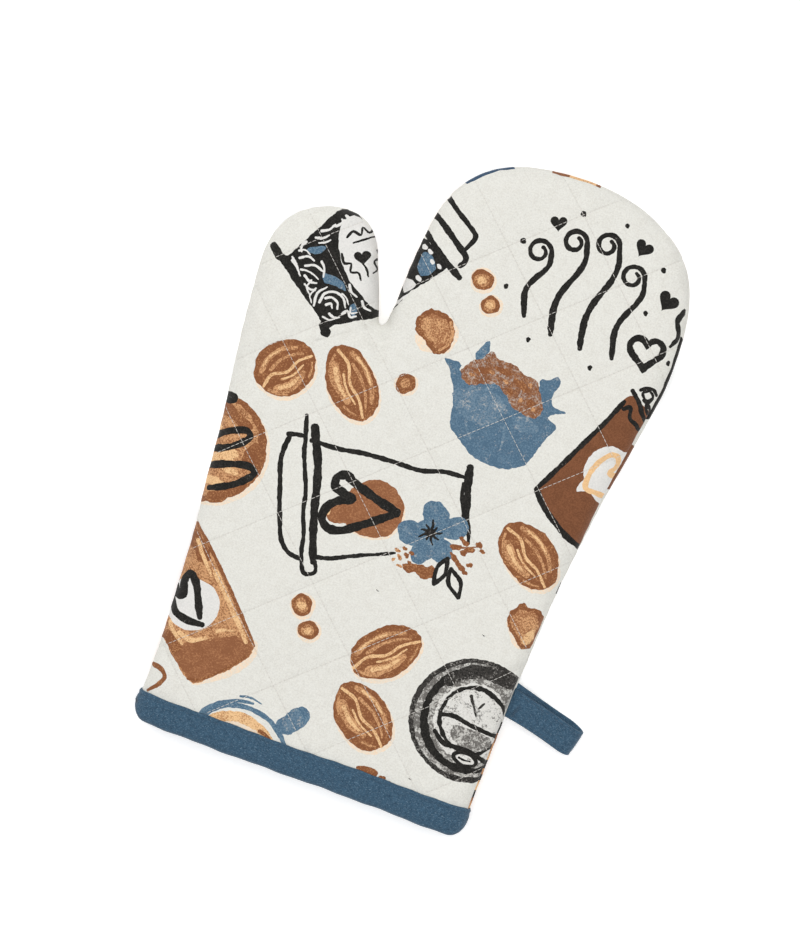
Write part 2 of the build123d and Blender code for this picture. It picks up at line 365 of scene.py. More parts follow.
def surf(P, side, t=0.0, seam=True, rel=1.0, fine=True, raw=None):
    """Point and outward normal on the skin of one side, t mm deep. Plan points outside the outline belong to the
    back panel only, and wrap up over the edge onto the front side."""
    P = np.asarray(P, float)
    D, Q, G, ins = nearest(P) if raw is None else raw
    sn = seam_inset(Q) if seam else np.zeros(len(P))
    S, dS = prof(D)
    H = thick(P[:, 1]) / 2
    zm = thick(P[:, 1]) / 2 + 0.05 + 1.25 * (1 - smooth(14, 46, P[:, 1]))
    wrap = (~ins) & (D > 1e-4)
    xy = np.where(wrap[:, None], 2 * Q - P, P)
    sg = np.where(wrap, 1.0, 1.0 if side == "F" else -1.0)
    N = np.column_stack([-(dS * H)[:, None] * G, sg])
    N /= np.linalg.norm(N, axis=1)[:, None]
    pos = np.column_stack([xy, zm + sg * H * S])
    ad = arc(D)
    asn = arc(sn)
    if side == "F":
        from_seam = np.abs(ad - asn)
    else:
        from_seam = np.where(wrap, np.abs(asn - ad), ad + asn)
    h = np.zeros(len(P))
    fade = smooth(2, 8, ad)
    if rel:
        h = rel * relief(P, side, fine) * np.where(wrap, 0, fade)
    hy = hem_y(P[:, 0])
    open_ = smooth(hy - 4, hy + 4, P[:, 1])
    tuck = 1.25 * np.exp(-(from_seam / 1.25)) * open_
    # seam pulls the edge in a little between gathers
    gather = 0.07 * np.exp(-((from_seam - 2.2) / 2.6) ** 2) * np.sin((P[:, 0] * 0.9 + P[:, 1] * 1.1) * 0.62 + 1.5 * np.sin(P[:, 1] * 0.13)) * open_
    h = h - tuck + gather
    pos = pos + (h - t)[:, None] * N
    if side == "B":
        low = max(t * 0.98, 0.02)
        pos[:, 2] = np.maximum(pos[:, 2], low)
    uv = np.where(wrap[:, None], Q - G * (ARC_EXTRA + ad)[:, None], P - G * (ARC_EXTRA - (ad - np.minimum(D, DW)))[:, None])
    return pos, N, uv, D, ins


# ---- print -------------------------------------------------------------------------------------------------
def lin(c):
    c = np.array(c, float) / 255
    return tuple(np.where(c <= 0.04045, c / 12.92, ((c + 0.055) / 1.055) ** 2.4))


INK = {  # colour, second colour, share of the second colour, light specks, dark specks
    "cotton": ((233, 232, 225), (225, 223, 215), 0.42, 0.0, 0.0),
    "white": ((233, 231, 227), (226, 225, 221), 0.4, 0.0, 0.0),
    "black": ((29, 28, 26), (50, 48, 45), 0.38, 0.14, 0.0),
    "dry": ((34, 33, 31), (66, 63, 60), 0.5, 0.43, 0.0),
    "brown": ((134, 86, 58), (117, 74, 49), 0.5, 0.05, 0.0),
    "rust": ((136, 85, 54), (196, 141, 95), 0.22, 0.05, 0.0),
    "cocoa": ((144, 93, 62), (176, 122, 84), 0.34, 0.05, 0.0),
    "nut": ((158, 104, 69), (222, 172, 124), 0.42, 0.05, 0.0),
    "tan": ((217, 165, 118), (148, 96, 62), 0.46, 0.06, 0.0),
    "orange": ((242, 200, 149), (190, 134, 90), 0.34, 0.05, 0.0),
    "cream": ((243, 201, 149), (232, 188, 138), 0.35, 0.0, 0.0),
    "halo": ((249, 223, 194), (236, 226, 211), 0.5, 0.0, 0.0),
    "crumb": ((128, 82, 56), (168, 120, 86), 0.40, 0.55, 0.0),
    "denim": ((80, 109, 132), (104, 132, 153), 0.36, 0.33, 0.02),
    "pale": ((86, 115, 137), (114, 139, 158), 0.5, 0.47, 0.0),
    "blue": ((78, 108, 132), (112, 139, 158), 0.42, 0.36, 0.02),
    "navy": ((48, 72, 98), (72, 100, 126), 0.4, 0.12, 0.0),
    "ring": ((216, 214, 208), (196, 194, 188), 0.5, 0.0, 0.94),
    "speck": ((230, 228, 223), (222, 220, 214), 0.5, 0.0, 0.56),
}
KIND = {k: i for i, k in enumerate(INK)}


def g2(p):
    p = np.asarray(p, float)
    return np.stack([0.223 * p[..., 0] - 142.8, 315.7 - 0.223 * p[..., 1]], -1)


class Print:
    """Shapes in painter's order on the cloth, each a closed outline and an ink."""

    def __init__(self):
        self.items = []

    def rough(self, P, amount, seed):
        """A printed edge is never quite clean."""
        r = np.random.RandomState(int(abs(seed * 7919 + P[0, 0] * 13 + P[0, 1] * 7)) % 100000)
        d = r.uniform(-1, 1, len(P))
        d = d + 0.6 * np.roll(d, 1)
        t = np.roll(P, -1, 0) - np.roll(P, 1, 0)
        t /= np.linalg.norm(t, axis=1)[:, None] + 1e-9
        return P + np.stack([-t[:, 1], t[:, 0]], 1) * (d * amount)[:, None]

    def shape(self, pts, ink, step=4.0, rough=0.9):
        p = crom(pts, step, True)
        self.items.append((g2(self.rough(p, rough, 3)), ink))

    def line(self, pts, w, ink="black", w2=None, taper=(0.9, 0.8), seed=0):
        pts = np.array(pts, float)
        tot = np.linalg.norm(np.diff(pts, axis=0), axis=1).sum()
        c = crom(pts, max(3.0, min(4.5, tot / 6)))
        w2 = w if w2 is None else w2
        w, w2 = w * 1.2, w2 * 1.2
        n = len(c)
        t = np.linspace(0, 1, n)
        hw = (w + (w2 - w) * t) / 2
        L = np.cumsum(np.concatenate([[0], np.linalg.norm(np.diff(c, axis=0), axis=1)]))
        tot = L[-1]
        e = min(0.25 * tot, 1.2 * max(w, w2))
        hw = hw * (taper[0] + (1 - taper[0]) * smooth(0, e, L)) * (taper[1] + (1 - taper[1]) * smooth(0, e, tot - L))
        ph = seed + c[0, 0] * 0.37
        hw = hw * (1 + 0.09 * np.sin(L * 0.13 + ph) + 0.05 * np.sin(L * 0.37 + 2 * ph))
        tg = np.gradient(c, axis=0)
        tg /= np.linalg.norm(tg, axis=1)[:, None] + 1e-9
        nn = np.stack([-tg[:, 1], tg[:, 0]], 1)
        r = np.random.RandomState(int(abs(c[0, 0] * 17 + c[0, 1] * 5)) % 100000)
        left = c + nn * (hw + r.uniform(-0.5, 0.5, n))[:, None]
        right = c - nn * (hw + r.uniform(-0.5, 0.5, n))[:, None]
        a1 = [c[-1] + tg[-1] * hw[-1] * 0.8 * math.sin(a) + nn[-1] * hw[-1] * math.cos(a) for a in np.linspace(0, math.pi, 5)[1:-1]]
        a0 = [c[0] - tg[0] * hw[0] * 0.8 * math.sin(a) - nn[0] * hw[0] * math.cos(a) for a in np.linspace(0, math.pi, 5)[1:-1]]
        self.items.append((g2(np.vstack([left, a1, right[::-1], a0])), ink))

    def blob(self, c, rx, ry, ink, ang=0.0, wob=0.05, seed=1, n=None, rough=0.8):
        n = n or max(14, int(math.pi * (rx + ry) / 5.0))
        a = np.linspace(0, 2 * math.pi, n, endpoint=False)
        r = 1 + wob * (np.sin(2 * a + seed) + 0.6 * np.sin(3 * a + 2.1 * seed) + 0.5 * np.sin(5 * a + seed * 3.3))
        x, y = rx * r * np.cos(a), ry * r * np.sin(a)
        ca, sa = math.cos(math.radians(ang)), math.sin(math.radians(ang))
        P = np.stack([c[0] + x * ca - y * sa, c[1] + x * sa + y * ca], 1)
        self.items.append((g2(self.rough(P, min(rough, 0.12 * min(rx, ry)), seed)), ink))

    def heart(self, c, s, ink, ang=0.0, line=None):
        t = np.linspace(0, 2 * math.pi, 30, endpoint=False)
        x = 16 * np.sin(t) ** 3
        y = -(13 * np.cos(t) - 5 * np.cos(2 * t) - 2 * np.cos(3 * t) - np.cos(4 * t))
        ca, sa = math.cos(math.radians(ang)), math.sin(math.radians(ang))
        p = np.stack([c[0] + s / 16 * (x * ca - y * sa), c[1] + s / 16 * (x * sa + y * ca)], 1)
        if line:
            self.line(np.vstack([p[3:15], p[15:], p[:5]]), line, ink, taper=(0.9, 0.8))
        else:
            self.items.append((g2(p), ink))

    def bean(self, c, rx, ry, ang, seed):
        self.blob((c[0] + 4, c[1] + 5), rx + 2, ry + 2, "halo", ang, 0.025, seed)
        self.blob(c, rx, ry, "rust", ang, 0.03, seed, rough=1.3)
        ca, sa = math.cos(math.radians(ang)), math.sin(math.radians(ang))
        q = 0.06 * math.sin(seed * 2.3)

        def at(u, v):
            return (c[0] + rx * u * ca - ry * (v + q) * sa, c[1] + rx * u * sa + ry * (v + q) * ca)

        self.line([at(-0.60, 0.48), at(-0.15, 0.60), at(0.42, 0.44)], 20, "tan", 13)
        self.line([at(-0.50, 0.46), at(-0.1, 0.56), at(0.25, 0.48)], 8, "orange", 5)
        self.line([at(-0.74, -0.36), at(-0.32, -0.62), at(0.28, -0.64), at(0.66, -0.42)], 9, "tan", 7)
        self.line([at(-0.58, -0.5), at(-0.2, -0.66), at(0.2, -0.64)], 4, "orange", 3)
        self.line([at(-0.46, -0.24), at(0.02, -0.36), at(0.52, -0.26), at(0.74, -0.12)], 6, "tan", 4)
        self.line([at(-0.93, 0.12), at(-0.5, -0.08), at(0.0, 0.12), at(0.45, 0.0), at(0.94, 0.1)], 5.5, "orange", 4.5)
        self.line([at(-0.3, 0.24), at(0.1, 0.32), at(0.55, 0.2)], 4, "orange", 3)
        self.line([at(-0.84, 0.30), at(-0.66, 0.58), at(-0.4, 0.80)], 4.5, "tan", 3)
        self.line([at(0.5, 0.66), at(0.72, 0.46), at(0.84, 0.28)], 4.5, "tan", 3)

    def dot(self, c, r, seed):
        self.blob((c[0] + 2, c[1] + 2), r + 4, r + 4, "halo", 0, 0.04, seed)
        self.blob(c, r, r * 0.96, "rust", 20, 0.05, seed + 1)
        self.blob((c[0] - 1, c[1] + 1), r * 0.66, r * 0.6, "tan", 30, 0.1, seed + 2)
        self.blob((c[0] - 1, c[1] + 2), r * 0.42, r * 0.34, "orange", 10, 0.1, seed + 3)

    def curl(self, x0, y0, h, w, ph, hook, seed):
        """Rising steam that ends in a small spiral."""
        t = np.linspace(0, 1, 8)
        P = [(x0 + 17 * math.sin(2 * math.pi * 0.95 * k + ph) * (0.45 + 0.55 * k), y0 - h * k) for k in t]
        cx, cy = P[-1][0] + hook * 25, P[-1][1]
        for a in range(36, 436, 36):
            r = 25 * (1 - a / 760)
            an = math.radians(a)
            P.append((cx - hook * r * math.cos(an), cy - r * math.sin(an)))
        self.line(P, w, "black", w * 0.6, taper=(0.6, 0.9), seed=seed)

    def steam(self, pts, w, seed=0):
        self.line(pts, w, "black", w * 0.8, taper=(0.5, 0.4), seed=seed)
        q = crom(pts, 6.0)
        k = len(q)
        self.line(q[int(k * 0.62):int(k * 0.9):2] + np.array([w * 0.1, 0]), w * 0.22, "dry", taper=(0.4, 0.3))

    def leaf(self, a, b, width, w):
        a, b = np.array(a, float), np.array(b, float)
        t = (b - a) / np.linalg.norm(b - a)
        n = np.array([-t[1], t[0]])
        m = (a + b) / 2
        self.line([a, m + n * width / 2 - t * 4, b], w, "black", w)
        self.line([a, m - n * width / 2 + t * 2, b], w, "black", w)


def flower(pr):
    for k, (x, y, rx, ry, an) in enumerate([(678, 820, 26, 28, 0), (722, 832, 28, 24, -25), (710, 882, 26, 25, 40), (677, 900, 23, 23, 0), (643, 870, 28, 24, 10)]):
        pr.blob((x, y), rx, ry, "blue", an, 0.06, k + 1, rough=1.2)
    pr.blob((680, 858), 30, 30, "blue", 0, 0.05, 2)
    for x, y, rx, ry, an in ((672, 812, 10, 7, 20), (728, 824, 12, 6, -30), (636, 868, 10, 7, 0), (714, 890, 9, 8, 40), (676, 908, 9, 7, 0)):
        pr.blob((x, y), rx, ry, "pale", an, 0.16, int(x), rough=2.0)
    pr.blob((681, 857), 11, 10, "dry", 20, 0.16, 3, rough=1.4)
    for k in range(9):
        an, r = 0.35 + 0.70 * k, 21 + 5 * math.sin(2.4 * k)
        pr.line([(681 + 6 * math.cos(an), 857 + 6 * math.sin(an)), (681 + 0.6 * r * math.cos(an + 0.12), 857 + 0.6 * r * math.sin(an + 0.12)),
                 (681 + r * math.cos(an), 857 + r * math.sin(an))], 4.6, "black", 3.4, seed=k)


def front_print():
    p = Print()
    # dark cup on the thumb, seen lying on its side, with a round pale label
    p.shape([(304, 311), (322, 312), (350, 330), (470, 400), (470, 440), (435, 489), (394, 516), (354, 542), (345, 560), (330, 552), (329, 540), (290, 512),
             (250, 484), (212, 457), (200, 452), (188, 436), (193, 426), (214, 440), (222, 440), (238, 412), (262, 366), (284, 324), (293, 312)], "black")
    p.line([(188, 430), (203, 443), (222, 452)], 13, "black", 12)
    p.blob((347, 557), 10, 10, "black", 0, 0.05, 3)
    p.shape([(254, 417), (270, 404), (288, 399), (282, 414), (268, 420)], "blue")
    p.shape([(300, 452), (318, 446), (342, 452), (356, 466), (332, 464), (308, 464)], "blue")
    p.shape([(379, 483), (391, 496), (384, 508), (374, 498)], "blue")
    for k, pts in enumerate([[(246, 437), (262, 428), (276, 432)], [(262, 448), (280, 440), (300, 446)], [(290, 428), (300, 440), (304, 456)],
                             [(262, 388), (276, 384), (286, 374)], [(268, 372), (282, 364), (290, 350)], [(304, 336), (296, 350), (286, 356)],
                             [(392, 474), (402, 484), (414, 486)], [(358, 452), (366, 464), (380, 470)], [(234, 446), (246, 454), (260, 470)],
                             [(322, 494), (334, 488), (348, 494), (352, 506)], [(314, 506), (318, 486), (336, 476), (356, 482), (366, 498)], [(306, 516), (304, 490), (318, 472)],
                             [(328, 506), (336, 500), (342, 508)], [(364, 512), (372, 502), (382, 512), (392, 506)], [(340, 520), (352, 524), (362, 520)],
                             [(268, 466), (282, 474), (296, 472)], [(274, 482), (286, 488), (298, 486)], [(248, 402), (242, 414), (246, 424)]]):
        p.line(pts, 4.7, "white", 3.4, seed=k)
    for k, pts in enumerate([[(240, 424), (252, 418), (264, 424)], [(256, 458), (268, 456), (284, 458), (296, 464)], [(284, 470), (280, 486), (290, 498)], [(298, 482), (292, 500), (300, 512)],
                             [(272, 396), (284, 390), (292, 382)], [(350, 474), (360, 478), (370, 490)], [(376, 494), (380, 504), (392, 498)], [(330, 530), (344, 532), (354, 526)]]):
        p.line(pts, 3.4, "white", 2.4, seed=k + 20)
    p.line([(303, 326), (312, 331), (322, 337)], 6, "white", 5)
    p.line([(311, 345), (304, 340), (298, 336)], 5, "white", 4)
    p.line([(232, 440), (240, 446), (248, 454)], 4, "white", 3)
    p.shape([(329, 318), (311, 324), (302, 338), (303, 360), (309, 382), (318, 402), (335, 424), (358, 446), (388, 465), (421, 478), (450, 466), (474, 430), (474, 396), (352, 328)], "white")
    # squiggles and a small heart on the label
    p.heart((362, 392), 16, "black", -28)
    p.line([(320, 366), (328, 350), (344, 352), (342, 336), (358, 340), (364, 324)], 4.6, "black", 3.6)
    p.line([(336, 372), (348, 362), (360, 352), (372, 340)], 3.6, "black", 3)
    p.line([(384, 366), (394, 378), (386, 390), (398, 402), (392, 414)], 4.2, "black", 3)
    p.line([(322, 400), (334, 416), (346, 412), (352, 428), (366, 424), (376, 436)], 4.6, "black", 3.6)
    p.line([(368, 404), (378, 412), (386, 424)], 3.6, "black", 3)
    # cup fragment at the left of the fingers
    p.shape([(463, 311), (495, 330), (527, 350), (505, 385), (480, 417), (457, 446), (452, 400), (458, 350)], "black")
    p.shape([(474, 339), (492, 342), (507, 366), (487, 385), (473, 374)], "blue")
    p.shape([(457, 398), (481, 405), (463, 427)], "white")
    for c, s in (((472, 328), 5), ((486, 334), 4), ((496, 352), 4), ((482, 392), 5), ((512, 356), 4)):
        p.blob(c, s + 2, s, "white", 35, 0.05, 2)
    p.line([(476, 212), (505, 237), (533, 255), (559, 275), (555, 292), (548, 308)], 8.5)
    p.line([(464, 256), (490, 273), (525, 298), (556, 322), (556, 331), (550, 341)], 10.5)
    p.line([(459, 294), (492, 322), (527, 346), (543, 355), (558, 363)], 9, "black", 12)
    # dots and blobs
    p.dot((602, 350), 22, 1)
    p.dot((634, 392), 19, 3)
    p.dot((492, 1080), 22, 5)
    p.dot((521, 1123), 20, 8)
    p.blob((556, 484), 41, 41, "halo", 0, 0.07, 3)
    p.shape([(524, 441), (548, 439), (570, 445), (585, 464), (589, 488), (583, 511), (563, 522), (546, 511), (530, 499), (513, 493), (508, 466)], "rust", rough=1.5)
    p.shape([(532, 450), (552, 449), (570, 456), (580, 474), (578, 494), (566, 510), (550, 502), (532, 490), (519, 480), (520, 462)], "nut", rough=2.2)
    p.line([(572, 452), (583, 470), (582, 496), (570, 512)], 6, "tan", 5)
    p.blob((533, 599), 23, 23, "halo", 0, 0.06, 2)
    p.blob((531, 597), 20, 20, "rust", 0, 0.07, 4)
    p.blob((530, 596), 10, 9, "tan", 0, 0.1, 4)
    p.blob((926, 968), 38, 44, "halo", -20, 0.07, 1)
    p.shape([(902, 922), (914, 930), (930, 924), (952, 938), (958, 958), (952, 984), (946, 1006), (930, 1010), (912, 996), (892, 980), (882, 954), (892, 936)], "rust", rough=1.5)
    p.shape([(906, 936), (930, 934), (944, 950), (944, 978), (930, 1000), (912, 986), (894, 970), (892, 950)], "nut", rough=2.2)
    p.shape([(928, 980), (942, 966), (946, 984), (938, 1000), (926, 996)], "orange", rough=1.4)
    # beans
    p.bean((296, 651), 61, 57, -52, 1)
    p.bean((430, 634), 77, 50, 50, 2)
    p.bean((880, 831), 74, 51, 38, 3)
    p.bean((680, 1110), 76, 49, -42, 4)
    p.bean((683, 1247), 76, 51, 36, 5)
    # cookie at the left edge
    p.blob((219, 854), 112, 111, "halo", 0, 0.012, 2)
    p.blob((214, 849), 110, 109, "rust", 0, 0.015, 4, rough=1.4)
    p.blob((208, 848), 99, 99, "tan", 0, 0.03, 4, rough=1.8)
    for k, (x, y, rx, ry, an) in enumerate([(232, 772, 40, 13, 20), (296, 836, 14, 34, 8), (180, 905, 40, 14, -12), (262, 934, 30, 11, -30), (180, 784, 20, 10, 10)]):
        p.blob((x, y), rx, ry, "rust", an, 0.14, k + 1, rough=1.8)
    for k, (x, y, rx, ry, an) in enumerate([(220, 868, 44, 15, -6), (166, 846, 26, 18, 0), (252, 848, 20, 10, 10), (196, 812, 30, 10, -8), (238, 912, 26, 9, -14), (262, 880, 18, 8, 0)]):
        p.blob((x, y), rx, ry, "orange", an, 0.12, k + 2, rough=1.8)
    p.blob((213, 744), 16, 13, "black", 10, 0.06, 2)
    p.line([(150, 850), (205, 828), (244, 803), (270, 795), (279, 804), (262, 826), (238, 842), (208, 854)], 12.5, "black", 11.5)
    p.line([(160, 905), (222, 884), (264, 867), (298, 860), (312, 868), (297, 890), (270, 911), (236, 928)], 12.5, "black", 11.5)
    # steam curls, hearts and dots fill the upper right of the palm side
    for k, (x, y, h, w_, ph, hk) in enumerate([(700, 390, 132, 11, 2.6, -1), (764, 406, 190, 12, 2.9, -1), (830, 412, 212, 12, 3.1, -1), (894, 408, 166, 11, 2.8, -1)]):
        p.curl(x, y, h, w_, ph, hk, k)
    p.heart((956, 372), 34, "black", -10, line=11)
    p.heart((704, 192), 17, "black", -16)
    p.heart((880, 180), 19, "black", 14)
    p.heart((962, 262), 22, "black", 16)
    p.line([(1002, 266), (994, 292), (1006, 318), (998, 344)], 10, "black", 8)
    for x, y, r in ((650, 250, 6), (744, 158, 6), (834, 150, 5), (932, 208, 6), (928, 300, 5), (650, 346, 5), (1004, 376, 5), (728, 430, 5), (862, 440, 5)):
        p.blob((x, y), r, r, "black", 0, 0.08, r)
    # muffin with a blue case
    p.shape([(586, 522), (606, 519), (622, 524), (622, 532), (644, 538), (678, 528), (701, 520), (728, 538), (748, 554), (770, 560), (788, 562), (798, 552), (798, 540),
             (789, 525), (781, 511), (781, 493), (798, 491), (810, 478), (819, 493), (813, 511), (819, 537), (850, 541), (828, 552), (819, 561), (841, 572), (825, 616),
             (810, 664), (781, 684), (748, 690), (701, 684), (663, 659), (642, 643), (636, 616), (619, 566), (604, 543)], "denim", rough=1.2)
    p.shape([(640, 495), (657, 459), (664, 475), (657, 497), (648, 504)], "blue")
    p.shape([(625, 537), (644, 503), (657, 497), (661, 484), (672, 478), (686, 486), (719, 487), (745, 497), (769, 499), (781, 511), (792, 528), (804, 549), (803, 563),
             (792, 574), (766, 571), (745, 568), (725, 550), (701, 534), (678, 543), (644, 555)], "crumb", rough=1.6)
    p.shape([(628, 572), (650, 560), (690, 548), (726, 566), (732, 596), (704, 622), (668, 618), (636, 606)], "pale", rough=3.0)
    p.shape([(760, 582), (800, 580), (812, 592), (792, 606), (764, 600)], "pale", rough=2.4)
    p.line([(668, 622), (676, 640), (690, 654)], 5, "pale", 3)
    p.line([(744, 606), (750, 630), (752, 656)], 5, "pale", 3)
    for k, (x, y, rx, ry, an) in enumerate([(664, 520, 16, 8, -30), (704, 506, 18, 7, 5), (748, 520, 20, 8, 25), (776, 548, 10, 7, 40), (730, 540, 9, 5, 30)]):
        p.blob((x, y), rx, ry, "rust", an, 0.14, k + 1, rough=1.8)
    for k, (x, y) in enumerate([(648, 534), (684, 516), (716, 524), (764, 514), (786, 556), (756, 548)]):
        p.blob((x, y), 6, 4, "tan", 20 * k, 0.12, k + 1)
    # cup at the right edge
    p.shape([(957, 463), (985, 470), (1030, 500), (1060, 600), (1040, 760), (990, 800), (967, 780), (937, 770), (907, 753), (873, 730), (848, 703), (880, 638), (910, 572), (935, 515)],
            "brown", step=7)
    p.shape([(1040, 560), (995, 572), (960, 570), (937, 583), (923, 607), (922, 633), (927, 650), (922, 678), (947, 670), (963, 680), (977, 685), (1020, 690), (1050, 640)], "white")
    p.line([(950, 478), (930, 528), (903, 585), (875, 645), (846, 703)], 8, "black", 9)
    p.line([(848, 703), (873, 730), (907, 753), (937, 770), (967, 780), (992, 790)], 10, "black", 10)
    p.line([(953, 493), (965, 485), (973, 507), (987, 512), (1000, 520), (1014, 514)], 7)
    p.line([(986, 668), (960, 668), (938, 666), (935, 640), (946, 608), (963, 587), (978, 586), (983, 604), (972, 622), (990, 622), (1010, 606)], 9, "cream", 9)
    p.line([(957, 452), (978, 470), (992, 488), (1007, 503)], 8)
    p.line([(990, 440), (1001, 450), (990, 461), (979, 450), (990, 440)], 4.5)
    p.line([(984, 462), (1000, 470), (1012, 484)], 5)
    p.line([(1002, 452), (994, 470), (1004, 484), (1016, 478)], 6)
    p.line([(972, 446), (982, 438), (996, 436), (1008, 444)], 6)
    # big cup drawn in outline, lying on its side
    p.line([(347, 772), (364, 767), (381, 764)], 9, "black", 8)
    p.line([(353, 770), (350, 795), (351, 822), (366, 868), (387, 926), (410, 976), (430, 992), (456, 996)], 8.5, "black", 8)
    p.line([(369, 724), (383, 768), (389, 792), (403, 826), (420, 866), (430, 907), (446, 948), (456, 988), (474, 1020), (493, 1011), (486, 990)], 8, "black", 7)
    p.line([(392, 740), (404, 765), (422, 803), (436, 845), (449, 895), (464, 942), (476, 976), (483, 994)], 14.5, "black", 13)
    p.line([(395, 768), (451, 765), (501, 756), (558, 751), (620, 748), (664, 734), (707, 730)], 8.5, "black", 8)
    p.line([(709, 707), (716, 738), (728, 774), (739, 807), (750, 828), (759, 851)], 15, "black", 7)
    p.line([(708, 742), (714, 768), (727, 796), (738, 828)], 7, "black", 5)
    p.line([(482, 982), (508, 976), (535, 963), (570, 946), (600, 933), (629, 919)], 8.5, "black", 5)
    p.blob((562, 857), 61, 58, "halo", 0, 0.03, 3)
    p.blob((558, 853), 61, 58, "cocoa", 0, 0.03, 3, rough=1.4)
    p.shape([(472, 872), (492, 864), (520, 866), (540, 880), (512, 900), (488, 906), (474, 894)], "cocoa", rough=1.4)
    p.line([(477, 892), (476, 876), (490, 868)], 6, "orange", 5)
    p.line([(606, 842), (565, 834), (529, 824), (501, 815), (485, 808), (469, 819), (471, 836), (491, 843), (513, 848), (489, 860), (470, 881), (469, 906), (486, 919), (510, 916), (544, 893),
            (577, 867), (606, 844)], 15, "black", 14)
    flower(p)
    for k, (x, y, rx, ry, an) in enumerate([(738, 866, 10, 7, -20), (752, 852, 9, 6, 30), (766, 862, 11, 6, -10), (780, 846, 8, 6, 40), (756, 872, 8, 5, 0), (790, 856, 6, 4, 0), (744, 888, 10, 6, 30),
                                            (760, 900, 11, 6, 30), (776, 890, 6, 5, 0), (772, 908, 6, 4, 20), (742, 846, 5, 4, 0)]):
        p.blob((x, y), rx, ry, "rust", an, 0.16, k + 1, rough=1.6)
    p.line([(730, 868), (752, 862), (776, 852)], 3.5, "rust", 2.5)
    p.line([(732, 880), (750, 892), (770, 902)], 3.5, "rust", 2.5)
    p.shape([(650, 934), (668, 926), (690, 924), (712, 918), (716, 934), (700, 948), (680, 942), (662, 946)], "rust", rough=2.0)
    for k, (x, y, rx, ry) in enumerate([(632, 912, 6, 4), (644, 904, 5, 4), (640, 924, 7, 4), (652, 916, 6, 5), (630, 932, 5, 3), (660, 908, 5, 4), (646, 940, 6, 3), (664, 928, 6, 4)]):
        p.blob((x, y), rx, ry, "rust" if k % 2 else "tan", 30 * k, 0.18, k + 1, rough=1.2)
    p.leaf((731, 892), (722, 951), 20, 7)
    p.leaf((743, 909), (778, 959), 24, 7)
    # cup at the lower left with a pale round
    p.shape([(342, 1306), (372, 1292), (408, 1264), (434, 1232), (442, 1200), (430, 1180), (380, 1240)], "halo")
    p.shape([(215, 1012), (237, 999), (290, 1045), (345, 1098), (395, 1150), (432, 1192), (430, 1212), (407, 1246), (379, 1274), (345, 1303), (332, 1301), (316, 1290), (286, 1267),
             (257, 1242), (240, 1236), (215, 1200), (205, 1100)], "tan", rough=1.2)
    p.shape([(228, 1004), (262, 1026), (290, 1060), (276, 1072), (250, 1052), (226, 1040)], "rust", rough=2.0)
    p.shape([(300, 1232), (340, 1214), (384, 1188), (418, 1184), (430, 1204), (404, 1244), (372, 1278), (342, 1300), (322, 1290), (290, 1266)], "cocoa", rough=2.6)
    p.shape([(246, 1222), (272, 1226), (296, 1246), (290, 1264), (262, 1244), (244, 1236)], "rust", rough=2.0)
    p.line([(240, 1001), (292, 1047), (346, 1100), (396, 1152), (431, 1192)], 6, "rust", 6)
    p.line([(330, 1298), (352, 1292), (392, 1256), (426, 1212)], 5, "rust", 4)
    for k, pts in enumerate([[(308, 1078), (352, 1124), (396, 1170), (414, 1190)], [(282, 1218), (310, 1224), (340, 1206)], [(258, 1204), (272, 1220), (296, 1238)],
                             [(252, 1032), (282, 1066), (304, 1090)], [(350, 1190), (368, 1180), (384, 1176)]]):
        p.line(pts, 10 - k, "orange", 7 - k, seed=k)
    p.blob((286, 1156), 55, 53, "white", 0, 0.02, 2)
    p.line([(240, 1134), (258, 1150), (264, 1144), (256, 1118), (263, 1099), (280, 1114), (296, 1145), (311, 1176)], 14, "black", 12)
    p.line([(236, 1150), (248, 1168), (264, 1183), (289, 1189), (321, 1187)], 14, "black", 12)
    # squiggle and blue-rimmed cup running into the hem
    p.line([(254, 1297), (277, 1300), (287, 1312), (279, 1331), (261, 1350)], 9, "rust", 6)
    p.shape([(392, 1376), (398, 1349), (421, 1333), (459, 1323), (496, 1331), (528, 1350), (540, 1380), (536, 1412), (508, 1448), (462, 1462), (414, 1448), (390, 1412)], "orange")
    p.shape([(404, 1376), (430, 1352), (462, 1344), (500, 1352), (520, 1376), (516, 1410), (492, 1434), (456, 1442), (420, 1430), (402, 1404)], "halo", rough=1.5)
    p.line([(500, 1346), (516, 1350), (530, 1360)], 7, "rust", 6)
    p.line([(376, 1362), (384, 1343), (398, 1328), (418, 1314), (444, 1303), (470, 1299)], 8.5, "blue", 5)
    p.line([(384, 1362), (396, 1340), (416, 1324), (444, 1313), (474, 1311), (509, 1318), (532, 1332), (552, 1350), (562, 1378), (560, 1412), (536, 1454), (492, 1480), (444, 1480), (400, 1462), (374, 1424), (370, 1390), (378, 1366)], 8, "blue", 9)
    p.line([(440, 1294), (462, 1290), (486, 1294)], 4, "blue", 2.5)
    p.shape([(526, 1318), (538, 1296), (556, 1274), (570, 1271), (584, 1282), (583, 1300), (570, 1320), (556, 1334), (540, 1334)], "blue", rough=1.4)
    p.shape([(540, 1318), (550, 1296), (566, 1286), (574, 1298), (562, 1318), (548, 1326)], "pale", rough=2.0)
